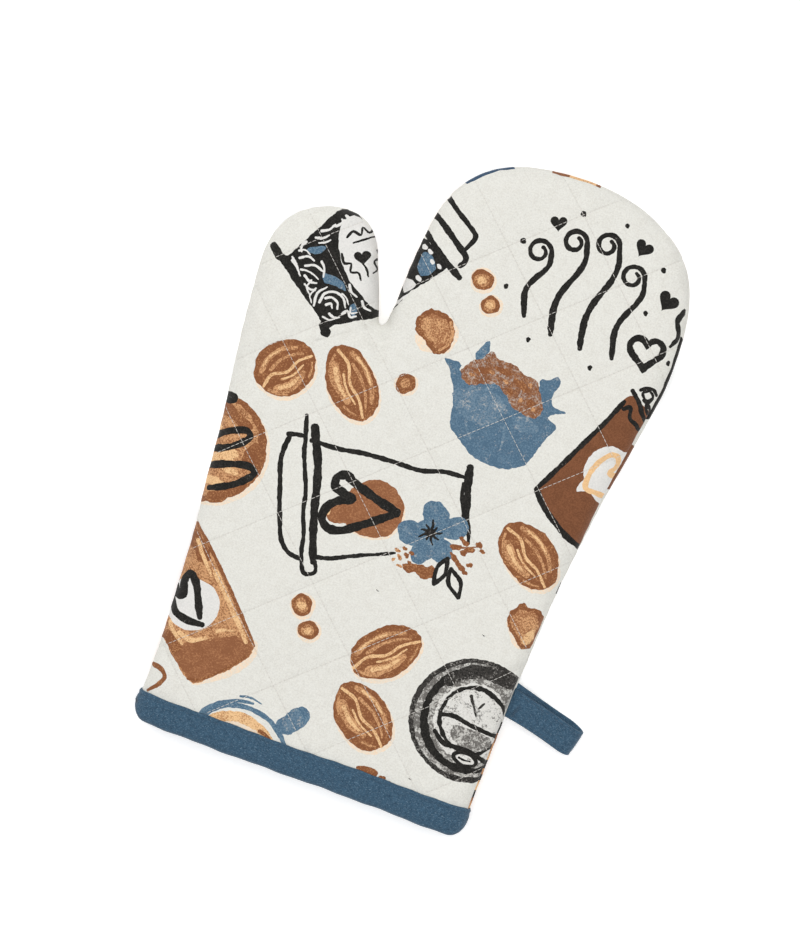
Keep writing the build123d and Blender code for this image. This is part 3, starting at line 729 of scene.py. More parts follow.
    # plate: dark rings with specks
    c = (890, 1178)
    p.blob(c, 126, 125, "dry", 0, 0.006, 2, n=190, rough=0.9)
    p.blob(c, 116, 115, "ring", 0, 0.008, 3, n=150, rough=1.0)
    p.blob((c[0] + 3, c[1] - 1), 108, 107, "black", 0, 0.008, 4, n=150, rough=1.1)
    p.blob((c[0] + 3, c[1]), 93, 92, "ring", 0, 0.012, 5, n=130, rough=1.4)
    p.blob((c[0] + 2, c[1] + 4), 80, 78, "speck", 0, 0.014, 5, rough=2.0)
    p.line([(818, 1120), (846, 1092), (884, 1078), (924, 1080), (960, 1092)], 20, "dry", 26)
    p.line([(936, 1104), (950, 1130), (964, 1160)], 22, "ring", 20)
    p.blob(c, 70, 69, "black", 0, 0.014, 6, rough=1.4)
    p.blob(c, 62, 61, "speck", 0, 0.014, 7, rough=1.4)
    p.shape([(858, 1200), (890, 1196), (930, 1198), (942, 1212), (920, 1232), (886, 1236), (862, 1222)], "ring", rough=2.0)
    p.line([(870, 1132), (882, 1150), (894, 1168)], 6, "dry", 3)
    p.line([(900, 1138), (892, 1152)], 4, "dry", 3)
    p.line([(824, 1188), (852, 1182), (884, 1187), (930, 1192), (1000, 1196)], 8, "black", 7)
    p.line([(826, 1222), (852, 1240), (884, 1238), (916, 1240), (944, 1250)], 8, "black", 8)
    p.blob((902, 1256), 27, 15, "black", 4, 0.02, 2)
    p.blob((902, 1256), 19, 8.5, "speck", 4, 0.02, 2)
    p.line([(890, 1256), (902, 1258), (914, 1256)], 4, "black", 3)
    p.shape([(704, 1346), (716, 1338), (734, 1336), (748, 1340), (750, 1352), (728, 1352)], "rust", rough=1.4)
    p.blob((762, 1348), 7, 5, "rust", 0, 0.12, 2)
    p.blob((778, 1352), 4, 3, "tan", 0, 0.1, 3)
    for k, (x, y) in enumerate([(620, 1000), (812, 1330), (848, 1010)]):
        p.line([(x, y), (x + 3, y + 1.5), (x + 6, y + 1)], 1.6, "dry", 1.0)
    return p


def back_print():
    """The same cloth, cut from another place: the shapes run across the back in a different order."""
    f = front_print()
    p = Print()
    for poly, ink in f.items:
        q = poly.copy()
        q[:, 0] = -20.0 - q[:, 0] - 6
        q[:, 1] = q[:, 1] - 96
        up = q.copy()
        up[:, 1] = up[:, 1] + 292
        p.items.append((q, ink))
        if up[:, 1].min() < 320:
            p.items.append((up, ink))
    k0 = int(np.argmin(np.abs(LINE - np.array([-41.5, 217.5])).sum(1)))
    k1 = int(np.argmin(np.abs(LINE - np.array([84.0, 212.0])).sum(1)))
    edge = np.vstack([LINE[k0:k1] - 4.0 * VN[k0:k1], (LINE[k0:k1] + 1.2 * VN[k0:k1])[::-1]])
    p.items.append((edge, "cotton"))
    p.items.append((crom([(-31, 276), (-29, 290), (-16, 304), (-12, 300), (-14, 289), (-22, 281)], 2, True), "navy"))
    p.items.append((crom([(6, 289), (5, 305), (25, 305), (24, 290)], 2, True), "rust"))
    p.items.append((crom([(13, 291), (13, 304), (24, 304), (22, 292)], 2, True), "orange"))
    p.items.append((crom([(84, 205), (92, 205), (94, 240), (86, 246)], 2, True), "black"))
    p.items.append((crom([(78, 170), (84, 172), (87, 190), (80, 192)], 2, True), "brown"))
    return p


# ---- panels ------------------------------------------------------------------------------------------------
OFFS = [0.0, 0.12, 0.35, 0.7, 1.2, 1.9, 2.9, 4.2, 5.9, 8.2, 11.2]


def offset_curve(d):
    return LINE + VN * (d[:, None] if hasattr(d, "__len__") else d)


def base_points(side, spacing, lines=True, y_low=1.3, wrap=True):
    """Points and edges that every panel mesh has: edge rings, hem line, stitch lines, the crotch line."""
    pts, edges = [], []
    sn = seam_inset(LINE) if wrap else np.zeros(len(LINE))

    def add_poly(P, keep, close=False):
        start = len(pts)
        idx = {}
        for i, p in enumerate(P):
            if keep[i]:
                idx[i] = len(pts)
                pts.append(tuple(p))
        for i in range(len(P) - 1):
            if i in idx and i + 1 in idx:
                edges.append((idx[i], idx[i + 1]))
        if close and 0 in idx and len(P) - 1 in idx:
            edges.append((idx[len(P) - 1], idx[0]))

    body = LINE[:, 1] > 8.2
    first = offset_curve(sn if side == "F" else -sn)
    bound = first[body]
    xs = np.linspace(bound[-1, 0] - 0.05, bound[0, 0] + 0.05, 90)
    e = edge_y(np.clip(xs, XL + 0.02, XR - 0.02)) + y_low
    poly = np.vstack([bound, np.column_stack([xs, e])])
    add_poly(poly, np.ones(len(poly), bool), True)
    if side == "B" and wrap:
        add_poly(offset_curve(-sn / 2), body & (sn > 0.3))
        add_poly(LINE, body & (sn > 0))
    base = sn if side == "F" else np.zeros(len(LINE))
    for k, o in enumerate(OFFS[1:]):
        P = offset_curve(base + o)
        ok = P[:, 1] > edge_y(np.clip(P[:, 0], XL + 0.1, XR - 0.1)) + y_low + 0.8
        if o > 3:
            ok &= (np.arange(len(P)) % 2 == 0) | True
        add_poly(P, ok)
    if lines:
        for which in (0, 1):
            pitch = (PA, PB)[which]
            for k in range(-7, 8):
                for off in (0.0, -0.9, 0.9, -2.0, 2.0):
                    s = np.arange(-260, 260, 1.7)
                    P = from_ab(np.full(len(s), k * PA + off), s) if which == 0 else from_ab(s, np.full(len(s), k * PB + off))
                    D, Q, G, ins = nearest(P)
                    ok = ins & (D > 1.6) & (P[:, 1] > edge_y(np.clip(P[:, 0], XL + 0.1, XR - 0.1)) + y_low + 1)
                    if ok.any():
                        if off == 0.0:
                            add_poly(P, ok)
                        else:
                            pts.extend([tuple(q) for q in P[ok]])
    a = len(pts)
    pts.append(tuple(CROTCH))
    pts.append(tuple(CROTCH + CUT_DIR * 90))
    edges.append((a, a + 1))
    return pts, edges, poly


def hexes(spacing, poly, avoid, gap):
    lo, hi = poly.min(0), poly.max(0)
    rows = np.arange(lo[1], hi[1], spacing * 0.866)
    P = []
    for r, y in enumerate(rows):
        xs = np.arange(lo[0], hi[0], spacing) + (spacing / 2 if r % 2 else 0)
        P.append(np.column_stack([xs, np.full(len(xs), y)]))
    P = np.vstack(P)
    P = P[in_poly(P, poly)]
    cell = gap
    occ = set()
    for x, y in avoid:
        i, j = int(math.floor(x / cell)), int(math.floor(y / cell))
        for di in (-1, 0, 1):
            for dj in (-1, 0, 1):
                occ.add((i + di, j + dj))
    keep = np.array([(int(math.floor(x / cell)), int(math.floor(y / cell))) not in occ for x, y in P])
    return P[keep]


def triangulate(pts, edges):
    vs, es, fs, _, _, _ = delaunay_2d_cdt([Vector((float(x), float(y))) for x, y in pts], edges, [], 0, 1e-4, True)
    V = np.array([(v.x, v.y) for v in vs])
    T = np.array([tuple(f) for f in fs if len(f) == 3], int)
    a, b, c = V[T[:, 0]], V[T[:, 1]], V[T[:, 2]]
    ar = (b[:, 0] - a[:, 0]) * (c[:, 1] - a[:, 1]) - (b[:, 1] - a[:, 1]) * (c[:, 0] - a[:, 0])
    T[ar < 0] = T[ar < 0][:, ::-1]
    return V, T[np.abs(ar) > 1e-7]


def loops_of(T):
    """Boundary loops of a triangle set, each in the direction of its faces."""
    e = {}
    for a, b, c in T:
        for u, v in ((a, b), (b, c), (c, a)):
            e[(int(u), int(v))] = 1
    nxt = {}
    for (u, v) in e:
        if (v, u) not in e:
            nxt.setdefault(u, []).append(v)
    out = []
    while nxt:
        s = next(iter(nxt))
        loop = [s]
        cur = s
        while True:
            v = nxt[cur].pop()
            if not nxt[cur]:
                del nxt[cur]
            if v == s or v not in nxt:
                break
            loop.append(v)
            cur = v
        if len(loop) > 8:
            out.append(loop)
    return out


def is_thumb(C):
    s = (C - CROTCH) @ CUT_N
    return (s > 0) & (C[:, 0] < -43.85)


def put(P):
    P = np.asarray(P, float).copy()
    P[:, 1] -= OY
    return P * 0.001


def mesh_object(name, V, F, uvs=None, sharp=None, cols=None, smooth_=True):
    me = bpy.data.meshes.new(name)
    me.from_pydata(put(V).tolist(), [], [tuple(int(i) for i in f) for f in F])
    me.update()
    if smooth_:
        me.polygons.foreach_set("use_smooth", np.ones(len(me.polygons), bool))
    n = len(me.loops)
    li = np.empty(n, int)
    me.loops.foreach_get("vertex_index", li)
    if uvs is not None:
        for nm, uv in uvs.items():
            layer = me.uv_layers.new(name=nm)
            arr = (np.asarray(uv)[li] if len(uv) != n else np.asarray(uv)) * 1.0
            layer.data.foreach_set("uv", arr.astype(np.float32).ravel())
    if cols is not None:
        for nm, per_face in cols.items():
            tot = np.empty(len(me.polygons), int)
            me.polygons.foreach_get("loop_total", tot)
            at = me.attributes.new(nm, "FLOAT_COLOR", "CORNER")
            at.data.foreach_set("color", np.repeat(per_face, tot, axis=0).astype(np.float32).ravel())
    if sharp:
        at = me.attributes.get("sharp_edge") or me.attributes.new("sharp_edge", "BOOLEAN", "EDGE")
        key = {tuple(sorted(e)) for e in sharp}
        ev = np.empty(len(me.edges) * 2, int)
        me.edges.foreach_get("vertices", ev)
        ev = np.sort(ev.reshape(-1, 2), axis=1)
        at.data.foreach_set("value", np.array([(int(a), int(b)) in key for a, b in ev], bool))
    ob = bpy.data.objects.new(name, me)
    bpy.context.scene.collection.objects.link(ob)
    return ob


def ink_arrays(kinds):
    tab = np.array([list(lin(v[0])) + [1] for v in INK.values()])
    tab2 = np.array([list(lin(v[1])) + [1] for v in INK.values()])
    par = np.array([[v[2], v[3], v[4], 1] for v in INK.values()])
    return {"ink": tab[kinds], "ink2": tab2[kinds], "inkp": par[kinds]}


def shell(name, V2, T, side, t_out, t_in, kinds=None, coarse=5.0, seam=True, rel_out=1.0, rel_in=0.0, material=None, t_edge=None, coarse_gap=2.4):
    """A closed thin piece: T meshes its outer face in plan, and a coarser inner face shares its boundary."""
    used = np.unique(T)
    remap = -np.ones(len(V2), int)
    remap[used] = np.arange(len(used))
    P = V2[used]
    F = remap[T]
    loop = max(loops_of(F), key=len)
    pos, N, uv, D, ins = surf(P, side, t_out, seam, rel_out)
    bp = P[loop]
    pts = [tuple(p) for p in bp]
    edges = [(i, (i + 1) % len(loop)) for i in range(len(loop))]
    sn = seam_inset(LINE) if seam else np.zeros(len(LINE))
    extra = []
    for o in (1.2, 3.2, 6.5):
        R = offset_curve((sn if side == "F" else np.zeros(len(LINE))) + o)[::2]
        extra += [tuple(r) for r in R[in_poly(R, bp)]]
    poly = bp
    inner = [tuple(p) for p in hexes(coarse, poly, pts, coarse_gap)]
    kd = KDTree(len(pts))
    for i, p in enumerate(pts):
        kd.insert((p[0], p[1], 0), i)
    kd.balance()
    extra = [p for p in extra if kd.find((p[0], p[1], 0))[2] > 0.9]
    V2i, Ti = triangulate(pts + extra + inner, edges)
    C = V2i[Ti].mean(1)
    Ti = Ti[in_poly(C, poly)]
    posi, Ni, uvi, Di, insi = surf(V2i, side, t_in, seam, rel_in, fine=False)
    # ordered: the first len(loop) vertices of V2i are the loop
    n0 = len(P)
    same = np.abs(V2i[:len(loop)] - bp).max() < 1e-3
    if not same:
        kd = KDTree(len(V2i))
        for i, p in enumerate(V2i):
            kd.insert((p[0], p[1], 0), i)
        kd.balance()
        ids = [kd.find((p[0], p[1], 0))[1] for p in bp]
    else:
        ids = list(range(len(loop)))
    flip = side == "B"
    faces = [tuple(f[::-1]) if flip else tuple(f) for f in F]
    faces_i = [tuple(int(k) + n0 for k in (f if flip else f[::-1])) for f in Ti]
    rim = []
    sharp = []
    for k in range(len(loop)):
        a, b = loop[k], loop[(k + 1) % len(loop)]
        c, d = ids[(k + 1) % len(loop)] + n0, ids[k] + n0
        rim.append((b, a, d, c) if not flip else (a, b, c, d))
        sharp += [(a, b), (c, d)]
    Vall = np.vstack([pos, posi])
    uvall = np.vstack([uv, uvi])
    pln = np.vstack([P, V2i])
    cols = None
    if kinds is not None:
        kk = np.concatenate([kinds, np.full(len(faces_i) + len(rim), KIND["cotton"])])
        cols = ink_arrays(kk)
    keepv = np.zeros(len(Vall), bool)
    allf = faces + faces_i + rim
    for f in allf:
        keepv[list(f)] = True
    rm = -np.ones(len(Vall), int)
    rm[keepv] = np.arange(keepv.sum())
    allf = [tuple(rm[i] for i in f) for f in allf]
    sharp = [(rm[a], rm[b]) for a, b in sharp]
    ob = mesh_object(name, Vall[keepv], allf, {"cloth": uvall[keepv], "plan": pln[keepv]}, sharp, cols)
    if material:
        ob.data.materials.append(material)
    return ob


def panel(side, pr, spacing):
    pts, edges, poly = base_points(side, spacing)
    for P, ink in pr.items:
        if P[:, 0].max() < poly[:, 0].min() or P[:, 0].min() > poly[:, 0].max() or P[:, 1].max() < 0 or P[:, 1].min() > poly[:, 1].max():
            continue
        s = len(pts)
        pts.extend([tuple(p) for p in P])
        edges.extend([(s + i, s + (i + 1) % len(P)) for i in range(len(P))])
    H = hexes(spacing, poly, pts, 0.75)
    V, T = triangulate(pts + [tuple(h) for h in H], edges)
    C = V[T].mean(1)
    T = T[in_poly(C, poly)]
    C = V[T].mean(1)
    kinds = np.full(len(T), KIND["cotton"])
    for P, ink in pr.items:
        kinds[in_poly(C, P)] = KIND[ink]
    return V, T, kinds, poly


def plain_panel(side, spacing):
    pts, edges, poly = base_points(side, spacing, lines=False, wrap=False)
    H = hexes(spacing, poly, pts, 1.4)
    V, T = triangulate(pts + [tuple(h) for h in H], edges)
    C = V[T].mean(1)
    return V, T[in_poly(C, poly)], poly


# ---- materials ---------------------------------------------------------------------------------------------
class Nodes:
    def __init__(self, name, rough=0.85, sheen=0.12):
        self.mat = bpy.data.materials.new(name)
        self.mat.use_nodes = True
        self.t = self.mat.node_tree
        self.b = self.t.nodes["Principled BSDF"]
        self.b.inputs["Roughness"].default_value = rough
        self.b.inputs["Specular IOR Level"].default_value = 0.18
        self.b.inputs["Sheen Weight"].default_value = sheen
        self.b.inputs["Sheen Roughness"].default_value = 0.5

    def put(self, s, v):
        if isinstance(v, bpy.types.NodeSocket):
            self.t.links.new(v, s)
        elif hasattr(v, "__len__") and s.type == "RGBA":
            s.default_value = (v[0], v[1], v[2], 1)
        else:
            s.default_value = v

    def math(self, op, a, b=None, c=None, clamp=False):
        n = self.t.nodes.new("ShaderNodeMath")
        n.operation = op
        n.use_clamp = clamp
        for i, v in enumerate((a, b, c)):
            if v is not None:
                self.put(n.inputs[i], v)
        return n.outputs[0]

    def uv(self, name):
        n = self.t.nodes.new("ShaderNodeUVMap")
        n.uv_map = name
        return n.outputs[0]

    def dot(self, v, c):
        n = self.t.nodes.new("ShaderNodeVectorMath")
        n.operation = "DOT_PRODUCT"
        self.put(n.inputs[0], v)
        n.inputs[1].default_value = c
        return n.outputs["Value"]

    def scaled(self, v, sx, sy, ox=0.0, oy=0.0):
        n = self.t.nodes.new("ShaderNodeMapping")
        self.put(n.inputs["Vector"], v)
        n.inputs["Scale"].default_value = (sx, sy, 1)
        n.inputs["Location"].default_value = (ox, oy, 0)
        return n.outputs[0]

    def noise(self, v, scale, detail=2.0, rough=0.5, dist=0.0):
        n = self.t.nodes.new("ShaderNodeTexNoise")
        self.put(n.inputs["Vector"], v)
        n.inputs["Scale"].default_value = scale
        n.inputs["Detail"].default_value = detail
        n.inputs["Roughness"].default_value = rough
        n.inputs["Distortion"].default_value = dist
        return n.outputs[0]

    def mix(self, f, a, b, mode="MIX"):
        n = self.t.nodes.new("ShaderNodeMix")
        n.data_type = "RGBA"
        n.blend_type = mode
        self.put(n.inputs[0], f)
        self.put(n.inputs[6], a)
        self.put(n.inputs[7], b)
        return n.outputs[2]

    def step(self, v, lo, hi):
        n = self.t.nodes.new("ShaderNodeMapRange")
        n.clamp = True
        self.put(n.inputs[0], v)
        self.put(n.inputs[1], lo)
        self.put(n.inputs[2], hi)
        return n.outputs[0]

    def attr(self, name):
        n = self.t.nodes.new("ShaderNodeAttribute")
        n.attribute_name = name
        return n.outputs["Color"]

    def weave(self, uv, pitch):
        x = self.dot(uv, (2 * math.pi / pitch, 0, 0))
        y = self.dot(uv, (0, 2 * math.pi / pitch, 0))
        return self.math("MULTIPLY", self.math("SINE", x), self.math("SINE", y))

    def bump(self, h, strength, dist):
        n = self.t.nodes.new("ShaderNodeBump")
        n.inputs["Strength"].default_value = strength
        n.inputs["Distance"].default_value = dist
        self.put(n.inputs["Height"], h)
        self.t.links.new(n.outputs[0], self.b.inputs["Normal"])

    def colour(self, c):
        self.put(self.b.inputs["Base Color"], c)


def printed_cotton():
    m = Nodes("printed_cotton", 0.88, 0.10)
    cl, pl = m.uv("cloth"), m.uv("plan")
    sep = m.t.nodes.new("ShaderNodeSeparateColor")
    m.put(sep.inputs[0], m.attr("inkp"))
    drift = m.math("MULTIPLY", m.math("SUBTRACT", m.noise(cl, 0.22, 2, 0.5, 0.6), 0.5), 0.24)
    grain = m.math("ADD", m.noise(m.scaled(cl, 1, 1, 3, 8), 1.2, 4, 0.85), drift)
    cover = m.math("SUBTRACT", 0.63, m.math("MULTIPLY", sep.outputs[0], 0.26))
    mott = m.step(grain, m.math("SUBTRACT", cover, 0.035), m.math("ADD", cover, 0.035))
    col = m.mix(mott, m.attr("ink"), m.attr("ink2"))
    # light threads showing through the ink
    g = sep.outputs[1]
    lt = m.math("SUBTRACT", 0.74, m.math("MULTIPLY", g, 0.42))
    patchy = m.math("MULTIPLY", m.math("SUBTRACT", m.noise(m.scaled(cl, 1, 1, 61, 23), 0.24, 2, 0.6), 0.5), 0.55)
    f1 = m.step(m.math("ADD", m.noise(m.scaled(cl, 1, 1, 13, 5), 1.05, 4, 0.8), patchy), lt, m.math("ADD", lt, 0.13))
    f1 = m.math("MULTIPLY", f1, m.math("GREATER_THAN", g, 0.01))
    col = m.mix(m.math("MULTIPLY", f1, 0.62), col, lin((205, 200, 193)))
    d = sep.outputs[2]
    dt = m.math("SUBTRACT", 0.74, m.math("MULTIPLY", d, 0.34))
    f2 = m.step(m.math("ADD", m.noise(m.scaled(cl, 1, 1, 41, 77), 0.95, 4, 0.8), patchy), dt, m.math("ADD", dt, 0.09))
    f2 = m.math("MULTIPLY", f2, m.math("GREATER_THAN", d, 0.01))
    col = m.mix(m.math("MULTIPLY", f2, 0.8), col, lin((58, 52, 48)))
    # slubs and weave
    slub = m.step(m.noise(m.scaled(cl, 0.35, 2.4), 1.1, 2, 0.6), 0.30, 0.74)
    slub2 = m.step(m.noise(m.scaled(cl, 2.4, 0.35, 9, 3), 1.1, 2, 0.6), 0.30, 0.74)
    wv = m.weave(cl, 0.62)
    fleck = m.step(m.noise(m.scaled(cl, 1, 1, 31, 14), 1.1, 2, 0.75), 0.30, 0.70)
    tone = m.math("ADD", m.math("MULTIPLY", m.math("ADD", slub, slub2), 0.070), m.math("MULTIPLY", wv, 0.035))
    tone = m.math("ADD", m.math("ADD", tone, m.math("MULTIPLY", fleck, 0.085)), 0.895)
    vn = m.t.nodes.new("ShaderNodeVectorMath")
    vn.operation = "SCALE"
    m.put(vn.inputs[0], col)
    m.put(vn.inputs["Scale"], tone)
    col = vn.outputs[0]
    # needle holes along both sets of quilting lines: painted shade darkens the colour in each hole, and the bump dents
    # it
    hole_shade_and_dent = None
    for nx, ny, off, pitch, ax, ay in ((-S43, C43, FA, PA, C43, S43), (S43, C43, FB, PB, C43, -S43)):
        a = m.math("SUBTRACT", m.dot(pl, (nx, ny, 0)), ny * OY + off)
        la = m.math("PINGPONG", a, pitch / 2)
        al = m.dot(pl, (ax, ay, 0))
        ph = m.math("PINGPONG", al, 1.1)
        r = m.math("SQRT", m.math("ADD", m.math("POWER", la, 2.0), m.math("POWER", ph, 2.0)))
        k = m.math("SUBTRACT", 1.0, m.step(r, 0.22, 0.5))
        hole_shade_and_dent = k if hole_shade_and_dent is None else m.math("MAXIMUM", hole_shade_and_dent, k)
    # painted shade: the colour in each needle hole is pulled towards grey-brown
    col = m.mix(m.math("MULTIPLY", hole_shade_and_dent, 0.16), col, lin((120, 112, 104)))
    m.colour(col)
    h = m.math("ADD", m.math("MULTIPLY", wv, 0.5), m.math("MULTIPLY", m.noise(cl, 1.7, 2, 0.6), 0.9))
    h = m.math("SUBTRACT", h, m.math("MULTIPLY", hole_shade_and_dent, 1.2))
    m.bump(h, 0.28, 0.00012)
    return m.mat


def plain_cloth(name, c1, c2, pitch=0.7):
    m = Nodes(name, 0.9, 0.1)
    cl = m.uv("cloth")
    wv = m.weave(cl, pitch)
    n = m.noise(m.scaled(cl, 1.0, 1.0), 0.5, 3, 0.6)
    col = m.mix(m.step(n, 0.35, 0.65), lin(c1), lin(c2))
    col = m.mix(m.math("MULTIPLY", m.step(wv, -0.2, 1.0), 0.10), col, lin([v * 0.8 for v in c1]))
    m.colour(col)
    m.bump(m.math("ADD", m.math("MULTIPLY", wv, 0.6), n), 0.3, 0.00015)
    return m.mat


def wadding():
    m = Nodes("cotton_wadding", 0.97, 0.3)
    cl = m.uv("cloth")
    n = m.noise(cl, 0.9, 5, 0.7, 1.4)
    f = m.noise(m.scaled(cl, 3.0, 0.6), 1.3, 3, 0.7, 2.0)
    m.colour(m.mix(m.step(n, 0.3, 0.7), lin((232, 228, 216)), lin((214, 208, 194))))
    m.bump(m.math("ADD", n, f), 0.7, 0.0005)
    return m.mat


def tape():
    m = Nodes("blue_tape", 0.86, 0.16)
    cl = m.uv("cloth")
    base = m.mix(m.step(m.noise(cl, 0.5, 3, 0.6), 0.35, 0.65), lin((50, 78, 100)), lin((62, 94, 118)))
    fl = m.step(m.noise(m.scaled(cl, 0.8, 2.6), 1.1, 2, 0.75), 0.54, 0.70)
    base = m.mix(m.math("MULTIPLY", fl, 0.85), base, lin((122, 150, 170)))
    dk = m.step(m.noise(m.scaled(cl, 2.4, 0.9, 20, 9), 1.1, 2, 0.75), 0.53, 0.68)
    base = m.mix(m.math("MULTIPLY", dk, 0.9), base, lin((30, 50, 70)))
    wv = m.weave(cl, 0.6)
    base = m.mix(m.math("MULTIPLY", m.step(wv, 0.1, 0.9), 0.22), base, lin((92, 120, 140)))
    m.colour(base)
    m.bump(m.math("ADD", m.math("MULTIPLY", wv, 0.7), m.noise(cl, 1.8, 2, 0.6)), 0.4, 0.00014)
    return m.mat


def thread(name, c1, c2):
    m = Nodes(name, 0.6, 0.2)
    cl = m.uv("cloth")
    tw = m.math("SINE", m.dot(cl, (9.0, 15.0, 0)))
    n = m.noise(cl, 1.2, 2, 0.5)
    m.colour(m.mix(m.step(m.math("ADD", m.math("MULTIPLY", tw, 0.25), n), 0.3, 0.8), lin(c1), lin(c2)))
    m.bump(tw, 0.3, 0.00005)
    return m.mat


MAT = {"print": printed_cotton(), "wadding": wadding(), "lining": plain_cloth("lining_cotton", (232, 229, 222), (224, 220, 212)), "tape": tape(),
       "thread": thread("quilting_thread", (233, 230, 224), (212, 207, 199)), "seam": thread("seam_thread", (214, 209, 200), (188, 183, 175)),
       "blue_thread": thread("binding_thread", (74, 102, 124), (50, 72, 92))}


def bend_main(ob):
    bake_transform(ob)


def bend_thumb(ob):
    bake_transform(ob)


PIECES = {}
SP = 2.1
PRINTS = {"F": front_print(), "B": back_print()}
for side, nm in (("F", "front"), ("B", "back")):
    V, T, kinds, poly = panel(side, PRINTS[side], SP if side == "F" else SP * 1.25)
    C = V[T].mean(1)
    th = is_thumb(C)
    main_t = T[~th]
    for part, sel, fn, nodes in (("palm", ~th, bend_main, ("palm", "fingers")), ("thumb", th, bend_thumb, ("thumb",))):
        ob = shell(f"outer_{nm}_{part}", V, T[sel], side, 0.0, 0.95, kinds[sel], material=MAT["print"])
        fn(ob)
        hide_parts(*[f"outer_{n}_{nm}" for n in nodes])
        PIECES[f"outer_{nm}_{part}"] = ob
    Vp, Tp, _ = plain_panel(side, 4.5)
    th = is_thumb(Vp[Tp].mean(1))
    for part, sel, fn, nodes in (("palm", ~th, bend_main, ("palm", "fingers")), ("thumb", th, bend_thumb, ("thumb",))):
        ob = shell(f"batting_{nm}_{part}", Vp, Tp[sel], side, 2.5, 4.7, seam=False, rel_out=0.0, material=MAT["wadding"])
        fn(ob)
        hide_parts(*[f"batting_{n}_{nm}" for n in nodes])
        PIECES[f"batting_{nm}_{part}"] = ob
        ob = shell(f"lining_{nm}_{part}", Vp, Tp[sel], side, 4.85, 5.4, seam=False, rel_out=0.0, rel_in=-0.5, material=MAT["lining"], coarse=4.0)
        fn(ob)
        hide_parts(*[f"lining_{n}_{nm}" for n in nodes])
        PIECES[f"lining_{nm}_{part}"] = ob
    print(nm, "faces", {k: len(o.data.polygons) for k, o in PIECES.items() if f"_{nm}_" in k})


# stitches: little arched capsules lying on the cloth
_tu = np.array([-1.0, -0.86, -0.45, 0.0, 0.45, 0.86, 1.0])
_tr = np.array([0.0, 0.62, 1.0, 1.0, 1.0, 0.62, 0.0])
_tz = np.array([-0.9, -0.35, 0.15, 0.3, 0.15, -0.35, -0.9])
NS = 6


def capsules(name, A, B, N, radius, material, lift=0.0):
    """One stitch from each A to each B, N the cloth's normal there."""
    A, B, N = map(np.asarray, (A, B, N))
    M, H = (A + B) / 2, (B - A) / 2
    L = np.linalg.norm(H, axis=1)
    U = H / L[:, None]
    W = np.cross(N, U)
    W /= np.linalg.norm(W, axis=1)[:, None]
    N = np.cross(U, W)
    vs = []
    for k in range(len(_tu)):
        c = M + U * (_tu[k] * L)[:, None] + N * (_tz[k] * radius + lift)
        if _tr[k] == 0:
            vs.append(c)
            continue
        for s in range(NS):
            a = 2 * math.pi * s / NS
            vs.append(c + W * (_tr[k] * radius * math.cos(a)) + N * (_tr[k] * radius * math.sin(a) * 0.8))
    V = np.stack(vs, 1)
    per = V.shape[1]
    f = []
    for s in range(NS):
        f.append((0, 1 + s, 1 + (s + 1) % NS))
    rings = len(_tu) - 2
    for k in range(rings - 1):
        for s in range(NS):
            a, b = 1 + k * NS + s, 1 + k * NS + (s + 1) % NS
            f.append((a, a + NS, b + NS, b))
    last = 1 + rings * NS
    for s in range(NS):
        f.append((last, last - NS + (s + 1) % NS, last - NS + s))
    faces = []
    for i in range(len(V)):
        o = i * per
        faces += [tuple(o + q for q in t) for t in f]
    V = V.reshape(-1, 3)
    ob = mesh_object(name, V, faces, {"cloth": np.column_stack([V[:, 0], V[:, 1] + 0.7 * V[:, 2]])})
    ob.data.materials.append(material)
    return ob


def quilt_stitches(side):
    P, U = [], []
    for which in (0, 1):
        for k in range(-7, 8):
            s = np.arange(-264 + 1.1, 264, 2.2)
            # the holes in the cloth are at whole multiples of 2.2 mm along the line
            if which == 0:
                n, t, c = np.array([-S43, C43]), np.array([C43, S43]), k * PA + FA
            else:
                n, t, c = np.array([S43, C43]), np.array([C43, -S43]), k * PB + FB
            base = n * c
            s0 = t @ np.array([0.0, OY])
            off = (s0 / 2.2) % 1.0 * 2.2
            ss = s - off
            Q = base + ss[:, None] * t + np.array([0, OY])
            P.append(Q)
            U.append(np.repeat(t[None], len(Q), 0))
    P, U = np.vstack(P), np.vstack(U)
    D, Q, G, ins = nearest(P)
    hy = hem_y(P[:, 0])
    ok = ins & (D > seam_inset(Q) + 1.3 if side == "F" else ins & (D > 1.3)) & (P[:, 1] > hy + 0.8)
    return P[ok], U[ok]


for side, nm in (("F", "front"), ("B", "back")):
    P, U = quilt_stitches(side)
    pa, na, _, _, _ = surf(P - U * 0.94, side)
    pb, nb, _, _, _ = surf(P + U * 0.94, side)
    th = is_thumb(P)
    for part, sel, fn, nodes in (("palm", ~th, bend_main, ("palm", "fingers")), ("thumb", th, bend_thumb, ("thumb",))):
        ob = capsules(f"quilting_{nm}_{part}", pa[sel], pb[sel], (na + nb)[sel], 0.125, MAT["thread"], 0.04)
        if side == "B":
            co = np.array([v.co for v in ob.data.vertices])
            co[:, 2] = np.maximum(co[:, 2], 0.00001)
            ob.data.vertices.foreach_set("co", co.astype(np.float32).ravel())
        fn(ob)
        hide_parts(*[f"quilting_{n}_{nm}" for n in nodes])

